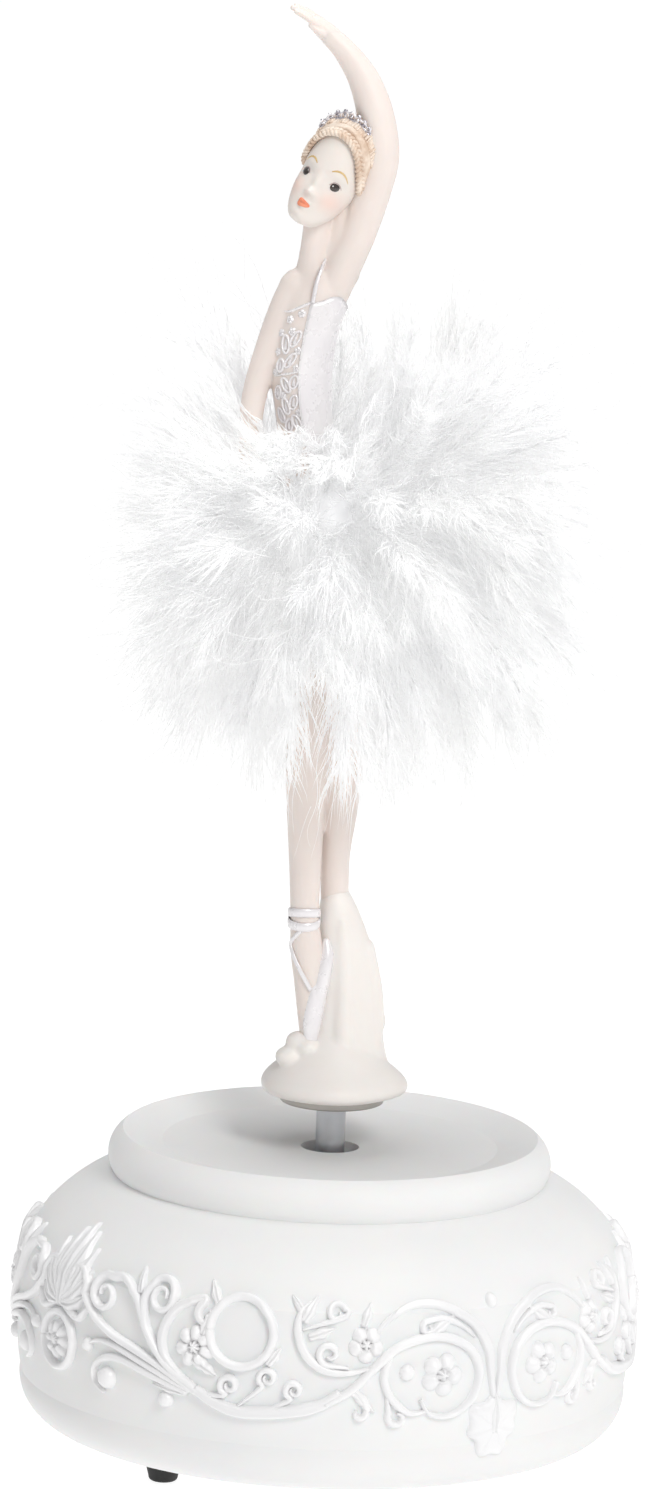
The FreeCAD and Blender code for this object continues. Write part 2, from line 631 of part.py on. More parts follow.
# --- dancer ---------------------------------------------------------------------------
def make_dancer_figure():
    """The porcelain casting: mound, drape, legs, torso, head and both arms."""
    z0 = FIGURE_Z
    mound = revolved([
        line(V(0, 0, z0), V(10.6, 0, z0)),
        arc(V(10.6, 0, z0), V(12.6, 0, z0 + 1.7), V(11.4, 0, z0 + 3.6)),
        arc(V(11.4, 0, z0 + 3.6), V(8.0, 0, z0 + 6.2), V(4.0, 0, z0 + 9.4)),
        line(V(4.0, 0, z0 + 9.4), V(0, 0, z0 + 9.4)),
        line(V(0, 0, z0 + 9.4), V(0, 0, z0)),
    ])
    drape_sections = [
        (0.8, 1.5, 66.0, 8.2, 6.4),
        (1.5, 1.8, 76.0, 6.4, 5.2),
        (1.2, 2.0, 86.0, 4.8, 4.2),
        (-0.4, 2.2, 97.0, 2.8, 2.8),
    ]
    drape = Part.makeLoft([ellipse_wire(*s) for s in drape_sections], True, False)
    torso_sections = [
        (-3.6, 0.2, 134.0, 7.8, 6.2),
        (HIP_CENTRE.x, HIP_CENTRE.y, HIP_CENTRE.z, 8.6, 7.2),
        (-7.6, 0.0, 170.0, 5.6, 4.8),
        (-8.9, -0.3, 184.0, 6.2, 5.2),
        (-7.8, 0.0, 196.0, 6.8, 5.0),
        (-7.6, 0.0, 203.0, 5.2, 3.8),
    ]
    torso = Part.makeLoft([ellipse_wire(*s) for s in torso_sections], True, False)
    front_leg = limb([
        (-4.6, -1.4, 71.0, 1.7),
        (-4.8, -1.6, 80.0, 2.9),
        (-5.6, -1.8, 94.0, 2.6),
        (-6.2, -1.2, 113.0, 3.3),
        (-6.4, -0.4, 137.0, 4.6),
    ])
    back_leg = limb([
        (-0.6, 2.2, 92.0, 2.4),
        (-0.9, 2.0, 103.0, 2.5),
        (-0.2, 1.6, 113.0, 3.1),
        (-0.8, 1.0, 137.0, 4.6),
    ])
    neck = limb([(-8.2, 0.2, 201.0, 3.2), (-8.2, -0.2, 206.0, 2.3), (-7.6, -0.4, 213.0, 2.3)])
    head = Part.makeSphere(1.0)
    stretch = FreeCAD.Matrix()
    stretch.scale(6.2, 7.0, 10.2)
    head = head.transformGeometry(stretch)
    head.rotate(V(0, 0, 0), Y, 10)
    head.translate(HEAD_CENTRE)
    raised_arm = limb([
        (-4.0, 0.0, 200.0, 3.3),
        (0.4, 0.3, 211.4, 3.0),
        (2.5, 0.2, 222.4, 3.0),
        (-0.4, -0.6, 234.6, 2.7),
        (-7.1, -1.2, 242.2, 2.0),
        (-12.0, -1.6, 246.2, 1.1),
    ])
    lowered_arm = limb([
        (-11.4, 0.0, 200.0, 2.9),
        (-14.6, -0.8, 191.0, 2.6),
        (-17.6, -1.6, 181.0, 2.4),
        (-17.0, -5.5, 171.0, 2.2),
        (-13.6, -8.4, 163.0, 1.7),
    ])
    return fused([mound, drape, torso, front_leg, back_leg, neck, head, raised_arm, lowered_arm])


def make_tutu_core():
    """The cord that carries the feathers, tied once round the hips."""
    return Part.makeTorus(CORD_RING_R, CORD_R, HIP_CENTRE, Z)


def make_feather_tutu():
    """Outer shape of the marabou tutu, clear of the dancer and its cord."""
    body = Part.makeSphere(1.0)
    stretch = FreeCAD.Matrix()
    stretch.scale(TUTU_R, TUTU_R, TUTU_HALF_H)
    body = body.transformGeometry(stretch)
    body.translate(V(TUTU_X, 0, TUTU_Z))
    throat_sections = [
        (-3.2, 0.2, 112.0, 9.2, 8.2),
        (-4.4, 0.3, 136.0, 11.8, 10.4),
        (HIP_CENTRE.x, HIP_CENTRE.y, HIP_CENTRE.z, 11.4, 11.4),
        (-8.6, -0.8, 167.0, 13.4, 13.2),
        (-9.6, -0.8, 182.0, 13.2, 11.4),
        (-8.6, 0.0, 201.0, 11.6, 9.4),
    ]
    throat = Part.makeLoft([ellipse_wire(*s) for s in throat_sections], True, False)
    return body.cut(throat)


# --- assembly -------------------------------------------------------------------------
def build_nodes():
    outside = revolved(base_outline())
    nodes = {
        "base_shell": make_base_shell(outside),
        "scroll_frieze": make_scroll_frieze(outside),
        "bottom_plate": make_bottom_plate(),
        "plate_screws": make_plate_screws(),
        "movement_bedplate": make_bedplate(),
        "movement_screws": make_movement_screws(),
        "barrel_bridge": make_barrel_bridge(),
        "clutch_spring": make_clutch_spring(),
        "inner_bearing": make_bearing(INNER_BEARING_X, [(0, CYL_Z, CYL_ARBOR_R)], -4, 4, CYL_Z + 3),
        "outer_bearing": make_bearing(
            OUTER_BEARING_X,
            [(0, CYL_Z, CYL_ARBOR_R), (IDLER_Y, CYL_Z, IDLER_ARBOR_R)],
            -5,
            IDLER_Y + 2.5,
            CYL_Z + 3,
        ),
        "governor_frame": make_governor_frame(),
        "comb_base": cut_for_comb_screws(make_comb_base()),
        "music_comb": cut_for_comb_screws(make_music_comb()),
        "comb_screws": make_comb_screws(),
        "spring_barrel": make_spring_barrel(),
        "barrel_cover": make_barrel_cover(),
        "mainspring": make_mainspring(),
        "output_spindle": make_output_spindle(),
        "shaft_sleeve": make_shaft_sleeve(),
        "turntable_disc": make_turntable_disc(),
        "dancer_figure": make_dancer_figure(),
        "tutu_core_cord": make_tutu_core(),
        "feather_tutu": make_feather_tutu(),
        "winding_arbor": make_winding_arbor(),
        "winding_key": make_winding_key(),
        "music_cylinder": make_music_cylinder(),
        "cylinder_arbor": make_cylinder_arbor(),
        "cylinder_pinion": make_cylinder_pinion(),
        "cylinder_end_gear": make_cylinder_end_gear(),
        "idler_arbor": make_idler_arbor(),
        "idler_pinion": make_idler_pinion(),
        "worm_wheel": make_worm_wheel(),
        "governor_worm": make_governor_worm(),
        "governor_fan": make_governor_fan(),
    }
    for name, degrees in FOOT_ANGLES.items():
        nodes[name] = make_foot(degrees)
    return nodes


os.makedirs("parts", exist_ok=True)
for node_name, node_shape in build_nodes().items():
    if not node_shape.isValid():
        print("not valid:", node_name)
    node_shape.exportStep("parts/" + node_name + ".step")
    box = node_shape.optimalBoundingBox()
    print(
        f"{node_name:20s} {len(node_shape.Solids):3d} solids {node_shape.Volume:10.2f} mm3 "
        f"x {box.XMin:.1f}..{box.XMax:.1f} y {box.YMin:.1f}..{box.YMax:.1f} "
        f"z {box.ZMin:.1f}..{box.ZMax:.1f}"
    )
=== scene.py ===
import json
import math

import bpy
import numpy as np
from mathutils import Matrix, Vector
from mathutils.bvhtree import BVHTree


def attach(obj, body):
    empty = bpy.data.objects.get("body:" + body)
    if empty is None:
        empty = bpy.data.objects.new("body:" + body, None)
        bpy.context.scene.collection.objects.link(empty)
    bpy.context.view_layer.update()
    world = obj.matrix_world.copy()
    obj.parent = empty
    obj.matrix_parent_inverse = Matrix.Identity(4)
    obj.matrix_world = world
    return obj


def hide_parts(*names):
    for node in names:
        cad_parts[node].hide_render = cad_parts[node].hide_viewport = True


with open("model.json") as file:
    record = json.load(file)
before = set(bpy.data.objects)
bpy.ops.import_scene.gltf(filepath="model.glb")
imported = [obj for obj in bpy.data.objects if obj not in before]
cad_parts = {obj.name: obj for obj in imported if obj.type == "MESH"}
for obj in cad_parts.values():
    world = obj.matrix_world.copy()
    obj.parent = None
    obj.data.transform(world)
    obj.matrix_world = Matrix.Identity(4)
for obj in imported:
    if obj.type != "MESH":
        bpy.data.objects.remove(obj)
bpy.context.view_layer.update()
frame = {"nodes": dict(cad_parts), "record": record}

MM = 0.001
NODES = frame["nodes"]
rng = np.random.default_rng(20240517)


# ------------------------------------------------------------------ camera and stage
LIGHT_AIM = (0.0, 0.0, 0.12)   # metres
SKY_LEFT = 0.37                # strength of the surroundings at -X and at +X
SKY_RIGHT = 0.55
CAMERA_DISTANCE = 1167.0      # mm in front of the spin axis
CAMERA_HEIGHT = 327.7
AIM = (-3.55, 0.0, 122.7)
CAMERA_ROLL = 0.036           # radians
FOCAL_RATIO = 4.721           # focal length over the picture's long side


def make_camera():
    data = bpy.data.cameras.new("camera")
    data.sensor_fit = "AUTO"
    data.sensor_width = 36.0
    data.lens = data.sensor_width * FOCAL_RATIO
    data.clip_start = 0.05
    data.clip_end = 20.0
    camera = bpy.data.objects.new("camera", data)
    place = Vector((0.0, -CAMERA_DISTANCE, CAMERA_HEIGHT)) * MM
    look = (Vector(AIM) * MM - place).to_track_quat("-Z", "Y").to_matrix().to_4x4()
    camera.matrix_world = Matrix.Translation(place) @ look @ Matrix.Rotation(CAMERA_ROLL, 4, "Z")
    bpy.context.scene.collection.objects.link(camera)
    bpy.context.scene.camera = camera


def make_floor():
    side = 9.0                # metres from the middle to an edge
    steps = 24
    verts = []
    faces = []
    for j in range(steps + 1):
        for i in range(steps + 1):
            verts.append((side * (2 * i / steps - 1), side * (2 * j / steps - 1), 0.0))
    for j in range(steps):
        for i in range(steps):
            a = j * (steps + 1) + i
            faces.append((a, a + 1, a + steps + 2, a + steps + 1))
    mesh = bpy.data.meshes.new("floor")
    mesh.from_pydata(verts, [], faces)
    floor = bpy.data.objects.new("floor", mesh)
    bpy.context.scene.collection.objects.link(floor)
    mesh.materials.append(floor_material())


def area_light(name, place, size, power, tint=(1.0, 1.0, 1.0)):
    data = bpy.data.lights.new(name, "AREA")
    data.shape = "DISK"
    data.size = size
    data.energy = power
    data.color = tint
    light = bpy.data.objects.new(name, data)
    light.location = place
    light.rotation_euler = (Vector(LIGHT_AIM) - Vector(place)).to_track_quat("-Z", "Y").to_euler()
    bpy.context.scene.collection.objects.link(light)


def make_lights():
    world = bpy.data.worlds.new("studio")
    world.use_nodes = True
    tree = world.node_tree
    background = tree.nodes["Background"]
    background.inputs["Color"].default_value = (1.0, 1.0, 1.0, 1.0)
    coords = tree.nodes.new("ShaderNodeTexCoord")
    split = tree.nodes.new("ShaderNodeSeparateXYZ")
    side = tree.nodes.new("ShaderNodeMapRange")
    side.inputs["From Min"].default_value = -1.0
    side.inputs["From Max"].default_value = 1.0
    side.inputs["To Min"].default_value = SKY_LEFT
    side.inputs["To Max"].default_value = SKY_RIGHT
    tree.links.new(coords.outputs["Generated"], split.inputs["Vector"])
    tree.links.new(split.outputs["X"], side.inputs["Value"])
    tree.links.new(side.outputs["Result"], background.inputs["Strength"])
    bpy.context.scene.world = world
    area_light("key", (0.46, -0.82, 0.80), 0.40, 5.2, (1.0, 0.995, 0.985))
    area_light("top", (-0.03, 0.05, 1.1), 0.7, 5.0)
    bpy.context.scene.view_settings.view_transform = "Standard"


# ------------------------------------------------------------------ materials
class Shader:
    """A Principled material with helpers for noise-driven colour, roughness and bump."""

    def __init__(self, name, base, roughness, metallic=0.0):
        self.material = bpy.data.materials.new(name)
        self.material.use_nodes = True
        self.tree = self.material.node_tree
        self.bsdf = self.tree.nodes["Principled BSDF"]
        self.bsdf.inputs["Base Color"].default_value = (*base, 1.0)
        self.bsdf.inputs["Roughness"].default_value = roughness
        self.bsdf.inputs["Metallic"].default_value = metallic
        self.height = None
        self.coords = self.tree.nodes.new("ShaderNodeTexCoord")

    def set(self, **values):
        for key, value in values.items():
            self.bsdf.inputs[key.replace("_", " ")].default_value = value
        return self

    def link(self, output, socket):
        self.tree.links.new(output, socket)

    def noise(self, scale, detail=4.0, rough=0.55, stretch=None):
        node = self.tree.nodes.new("ShaderNodeTexNoise")
        node.inputs["Scale"].default_value = scale
        node.inputs["Detail"].default_value = detail
        node.inputs["Roughness"].default_value = rough
        source = self.coords.outputs["Object"]
        if stretch:
            mapping = self.tree.nodes.new("ShaderNodeMapping")
            mapping.inputs["Scale"].default_value = stretch
            self.link(source, mapping.inputs["Vector"])
            source = mapping.outputs["Vector"]
        self.link(source, node.inputs["Vector"])
        return node.outputs["Fac"]

    def ramp(self, factor, low, high, start=0.3, end=0.7):
        node = self.tree.nodes.new("ShaderNodeValToRGB")
        node.color_ramp.elements[0].position = start
        node.color_ramp.elements[1].position = end
        node.color_ramp.elements[0].color = (*low, 1.0)
        node.color_ramp.elements[1].color = (*high, 1.0)
        self.link(factor, node.inputs["Fac"])
        return node.outputs["Color"]

    def colour(self, factor, low, high, start=0.3, end=0.7):
        self.link(self.ramp(factor, low, high, start, end), self.bsdf.inputs["Base Color"])
        return self

    def rough(self, factor, low, high):
        node = self.tree.nodes.new("ShaderNodeMapRange")
        node.inputs["To Min"].default_value = low
        node.inputs["To Max"].default_value = high
        self.link(factor, node.inputs["Value"])
        self.link(node.outputs["Result"], self.bsdf.inputs["Roughness"])
        return self

    def bump(self, factor, strength, distance):
        node = self.tree.nodes.new("ShaderNodeBump")
        node.inputs["Strength"].default_value = strength
        node.inputs["Distance"].default_value = distance
        self.link(factor, node.inputs["Height"])
        if self.height is not None:
            self.link(self.height, node.inputs["Normal"])
        self.height = node.outputs["Normal"]
        self.link(self.height, self.bsdf.inputs["Normal"])
        return self


def floor_material():
    shader = Shader("pale_floor", (0.22, 0.22, 0.22), 0.9)
    shader.colour(shader.noise(3.0), (0.215, 0.215, 0.215), (0.225, 0.225, 0.225))
    shader.set(Emission_Color=(1.0, 1.0, 1.0, 1.0), Emission_Strength=0.90)
    return shader.material


def bisque_material():
    """Unglazed cast white: faint mottling, fine grain and a soft skin."""
    shader = Shader("bisque", (0.86, 0.86, 0.86), 0.62)
    shader.set(Subsurface_Weight=0.12, Subsurface_Scale=0.002, Specular_IOR_Level=0.35)
    shader.colour(shader.noise(38.0, 6.0), (0.825, 0.825, 0.828), (0.86, 0.858, 0.85))
    shader.rough(shader.noise(160.0, 3.0), 0.52, 0.72)
    shader.bump(shader.noise(90.0, 3.0), 0.10, 0.0004)
    shader.bump(shader.noise(900.0, 4.0), 0.16, 0.00012)
    return shader.material


def pearl_relief_material():
    """The relief's pearl wash: smoother than the body, brighter on the crests."""
    shader = Shader("pearl_relief", (0.88, 0.88, 0.88), 0.36)
    shader.set(Coat_Weight=0.35, Coat_Roughness=0.22, Sheen_Weight=0.15, Specular_IOR_Level=0.6)
    shader.colour(shader.noise(60.0, 5.0), (0.85, 0.85, 0.86), (0.91, 0.90, 0.90))
    shader.rough(shader.noise(240.0, 3.0), 0.28, 0.46)
    shader.bump(shader.noise(500.0, 4.0), 0.2, 0.00015)
    return shader.material


def feather_material():
    """White down; the faint glow stands for light scattered many times between the barbs."""
    shader = Shader("marabou_down", (0.97, 0.97, 0.975), 0.85)
    shader.set(Specular_IOR_Level=0.2, Emission_Color=(1.0, 1.0, 1.0, 1.0), Emission_Strength=0.155)
    shader.colour(shader.noise(45.0, 3.0), (0.955, 0.955, 0.965), (0.985, 0.985, 0.985))
    return shader.material


def steel_material(name, base, roughness, turned=False):
    stretch = (1.0, 1.0, 40.0) if turned else (1.0, 14.0, 1.0)
    shader = Shader(name, base, roughness, 1.0)
    low = tuple(0.86 * c for c in base)
    high = tuple(min(1.0, 1.1 * c) for c in base)
    shader.colour(shader.noise(60.0, 5.0), low, high)
    grain = shader.noise(180.0, 6.0, 0.6, stretch)
    shader.rough(grain, roughness * 0.75, roughness * 1.3)
    shader.bump(grain, 0.12, 0.00006)
    return shader.material


def brass_material():
    shader = Shader("gear_brass", (0.80, 0.62, 0.30), 0.3, 1.0)
    shader.colour(shader.noise(80.0, 5.0), (0.70, 0.53, 0.24), (0.86, 0.68, 0.36))
    shader.rough(shader.noise(300.0, 4.0), 0.22, 0.42)
    shader.bump(shader.noise(700.0, 4.0), 0.1, 0.00005)
    return shader.material


def rubber_material():
    shader = Shader("foot_rubber", (0.018, 0.018, 0.018), 0.6)
    shader.colour(shader.noise(120.0, 4.0), (0.012, 0.012, 0.012), (0.028, 0.028, 0.028))
    shader.rough(shader.noise(400.0, 3.0), 0.5, 0.75)
    shader.bump(shader.noise(1200.0, 3.0), 0.25, 0.0001)
    return shader.material


def plate_material():
    shader = Shader("plate_plastic", (0.84, 0.84, 0.83), 0.55)
    shader.colour(shader.noise(50.0, 4.0), (0.82, 0.82, 0.81), (0.86, 0.86, 0.85))
    shader.rough(shader.noise(500.0, 2.0), 0.45, 0.65)
    shader.bump(shader.noise(1500.0, 2.0), 0.3, 0.00008)
    return shader.material


def give(node, material):
    target = NODES[node]
    if not target.material_slots:
        target.data.materials.append(material)
    for entry in target.material_slots:
        entry.material = material


# ------------------------------------------------------------------ mesh helpers
def add_piece(name, verts, faces, material, body):
    """A mesh object from millimetre points, riding on a body."""
    mesh = bpy.data.meshes.new(name)
    mesh.from_pydata([(MM * x, MM * y, MM * z) for x, y, z in verts], [], faces)
    mesh.validate()
    piece = bpy.data.objects.new(name, mesh)
    bpy.context.scene.collection.objects.link(piece)
    mesh.materials.append(material)
    mesh.polygons.foreach_set("use_smooth", [True] * len(mesh.polygons))
    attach(piece, body)
    return piece


def curve_through(points, step):
    """Catmull-Rom points through the given ones, about step apart."""
    pts = [np.array(p, float) for p in points]
    pts = [2 * pts[0] - pts[1]] + pts + [2 * pts[-1] - pts[-2]]
    out = []
    for k in range(1, len(pts) - 2):
        a, b, c, d = pts[k - 1 : k + 3]
        count = max(2, int(math.ceil(np.linalg.norm((c - b)[:3]) / step)))
        for n in range(count):
            t = n / count
            bend = (2 * a - 5 * b + 4 * c - d) * t**2 + (3 * b - a - 3 * c + d) * t**3
            out.append(0.5 * (2 * b + (c - a) * t + bend))
    out.append(pts[-2])
    return out


class Builder:
    """Gathers vertices and faces of several closed pieces into one mesh."""

    def __init__(self):
        self.verts = []
        self.faces = []

    def rings(self, rings):
        """Skins equal rings of points and caps both ends."""
        start = len(self.verts)
        size = len(rings[0])
        for ring in rings:
            self.verts.extend(tuple(p) for p in ring)
        for k in range(len(rings) - 1):
            for n in range(size):
                a = start + k * size + n
                b = start + k * size + (n + 1) % size
                self.faces.append((a, b, b + size, a + size))
        self.faces.append(tuple(start + n for n in reversed(range(size))))
        last = start + (len(rings) - 1) * size
        self.faces.append(tuple(last + n for n in range(size)))


# ------------------------------------------------------------------ frieze
BELLY_R = 52.4
OUTSIDE_R = 90.0               # where the rays that look for the belly start
PENDANT_ANGLE = math.radians(33.0)
HALF_PATTERN = math.radians(90.0) * BELLY_R      # from one mirror axis to the next, along the belly
RELIEF_SINK = 0.4
ACANTHUS_Z = 32.0              # where the acanthus leaves spring from


class Belly:
    """The outside of the base, addressed by distance along the belly and by height."""

    def __init__(self):
        shell = NODES["base_shell"]
        self.tree = BVHTree.FromObject(shell, bpy.context.evaluated_depsgraph_get())
        self.flip = 1.0
        self.turn = 0.0

    def at(self, s, z):
        angle = PENDANT_ANGLE - self.flip * s / BELLY_R + self.turn
        out = Vector((math.sin(angle), -math.cos(angle), 0.0))
        origin = (out * OUTSIDE_R + Vector((0.0, 0.0, z))) * MM
        spot, normal = self.tree.ray_cast(origin, -out)[:2]
        return np.array(spot) / MM, np.array(normal)


def ridge(build, belly, path, width, height, groove=0.0, start=0.35, end=0.35):
    """A raised stroke along a path of (s, z) points, tapering to start and end shares of its width."""
    spots = curve_through(path, 0.5)
    lift = [belly.at(*p) for p in spots]
    rings = []
    last = len(spots) - 1
    for k, (spot, normal) in enumerate(lift):
        ahead = lift[min(k + 1, last)][0]
        behind = lift[max(k - 1, 0)][0]
        along = ahead - behind
        side = np.cross(normal, along)
        side /= np.linalg.norm(side)
        u = k / last
        share = min(1.0, start + (1 - start) * u / 0.25, end + (1 - end) * (1 - u) / 0.35)
        half = 0.5 * width * share
        rise = height * (0.45 + 0.55 * share)
        ring = []
        for n in range(9):
            a = math.pi * n / 8
            dip = groove * math.exp(-((math.cos(a) / 0.28) ** 2)) * share
            up = math.sin(a) ** 0.85 * rise - dip
            ring.append(spot - side * half * math.cos(a) + normal * up)
        ring.append(spot + side * half - normal * RELIEF_SINK)
        ring.append(spot - side * half - normal * RELIEF_SINK)
        rings.append(ring if belly.flip > 0 else ring[::-1])
    build.rings(rings)


def volute(cs, cz, radius, start_deg, turns, inner=0.3):
    """Points that spiral in towards (cs, cz); negative turns run clockwise."""
    points = []
    count = max(6, int(abs(turns) * 12))
    for k in range(count + 1):
        u = k / count
        angle = math.radians(start_deg + 360 * turns * u)
        r = radius * (1 - (1 - inner) * u)
        points.append((cs + r * math.cos(angle), cz + r * math.sin(angle)))
    return points


def oval(cs, cz, half_wide, half_tall, steps):
    """Points of a closed oval about (cs, cz)."""
    angles = [2 * math.pi * k / steps for k in range(steps + 1)]
    return [(cs + half_wide * math.cos(a), cz + half_tall * math.sin(a)) for a in angles]


def boss(build, belly, cs, cz, outline, profile, rings=9, spokes=48):
    """A raised patch: outline(angle) is its edge and profile(share, angle) its height."""
    grid = []
    for j in range(1, rings + 1):
        share = j / rings
        row = []
        for n in range(spokes):
            angle = 2 * math.pi * n / spokes
            r = outline(angle) * share
            spot, normal = belly.at(cs + r * math.cos(angle), cz + r * math.sin(angle))
            row.append(spot + normal * profile(share, angle))
        grid.append(row)
    rim = []
    for n in range(spokes):
        angle = 2 * math.pi * n / spokes
        r = outline(angle)
        spot, normal = belly.at(cs + r * math.cos(angle), cz + r * math.sin(angle))
        rim.append(spot - normal * RELIEF_SINK)
    grid.append(rim)
    start = len(build.verts)
    spot, normal = belly.at(cs, cz)
    build.verts.append(tuple(spot + normal * profile(0.0, 0.0)))
    for row in grid:
        build.verts.extend(tuple(p) for p in row)
    build.verts.append(tuple(spot - normal * RELIEF_SINK))
    bottom = len(build.verts) - 1
    flip = belly.flip > 0
    for n in range(spokes):
        m = (n + 1) % spokes
        face = (start, start + 1 + m, start + 1 + n)
        build.faces.append(face if flip else face[::-1])
        for j in range(len(grid) - 1):
            a = start + 1 + j * spokes
            face = (a + n, a + m, a + spokes + m, a + spokes + n)
            build.faces.append(face if flip else face[::-1])
        a = start + 1 + (len(grid) - 1) * spokes
        face = (a + n, a + m, bottom)
        build.faces.append(face if flip else face[::-1])


def ball(build, belly, cs, cz, radius, height):
    boss(build, belly, cs, cz, lambda a: radius, lambda u, a: height * math.sqrt(max(0.0, 1 - u**2)), 7, 24)


def flower(build, belly, cs, cz, radius, petals, height=1.2, depth=0.22, turn=0.0):
    """Round petals about a raised eye."""

    def petal(angle):
        return abs(math.cos(0.5 * petals * (angle + turn)))

    def outline(angle):
        return radius * (1 - depth * (1 - petal(angle) ** 0.6))

    def profile(u, angle):
        crease = 0.30 + 0.70 * petal(angle) ** 0.5
        lobe = height * crease * math.sin(math.pi * min(1.0, 0.18 + 0.82 * u)) ** 0.6
        eye = height * 1.05 * math.exp(-((u / 0.20) ** 4))
        moat = 0.55 * height * math.exp(-(((u - 0.30) / 0.07) ** 2))
        return max(eye, lobe - moat) if u < 0.99 else 0.1

    boss(build, belly, cs, cz, outline, profile, 14, 72)


def leaf(build, belly, base, tip, width, height=1.2, lobes=3, bend=0.0):
    """A pointed leaf with a sunk midrib and lobed edges."""
    base = np.array(base, float)
    tip = np.array(tip, float)
    along = tip - base
    across = np.array((-along[1], along[0]))
    across /= np.linalg.norm(across)
    steps = 22
    columns = 10
    start = len(build.verts)
    for k in range(steps + 1):
        u = k / steps
        centre = base + along * u + across * bend * math.sin(math.pi * u)
        swell = math.sin(math.pi * min(1.0, 0.08 + 0.92 * u) ** 0.75) ** 0.8
        half = 0.5 * width * max(0.05, swell * (1 + 0.16 * math.cos(2 * math.pi * lobes * u)))
        for n in range(columns + 1):
            v = 2 * n / columns - 1
            spot, normal = belly.at(*(centre + across * half * v))
            vein = 0.35 * math.exp(-((v / 0.16) ** 2))
            rise = height * max(0.0, 1 - abs(v) ** 2.4) * (1 - vein) * (0.35 + 0.65 * swell)
            edge = abs(v) > 0.999 or k in (0, steps)
            build.verts.append(tuple(spot + normal * (-RELIEF_SINK if edge else rise)))
    row = columns + 1
    for k in range(steps):
        for n in range(columns):
            a = start + k * row + n
            face = (a, a + 1, a + row + 1, a + row)
            build.faces.append(face[::-1] if belly.flip > 0 else face)
    edge = [start + k * row for k in range(steps + 1)]
    edge += [start + steps * row + n for n in range(1, columns + 1)]
    edge += [start + k * row + columns for k in reversed(range(steps))]
    edge += [start + n for n in reversed(range(1, columns))]
    build.faces.append(tuple(edge) if belly.flip > 0 else tuple(reversed(edge)))


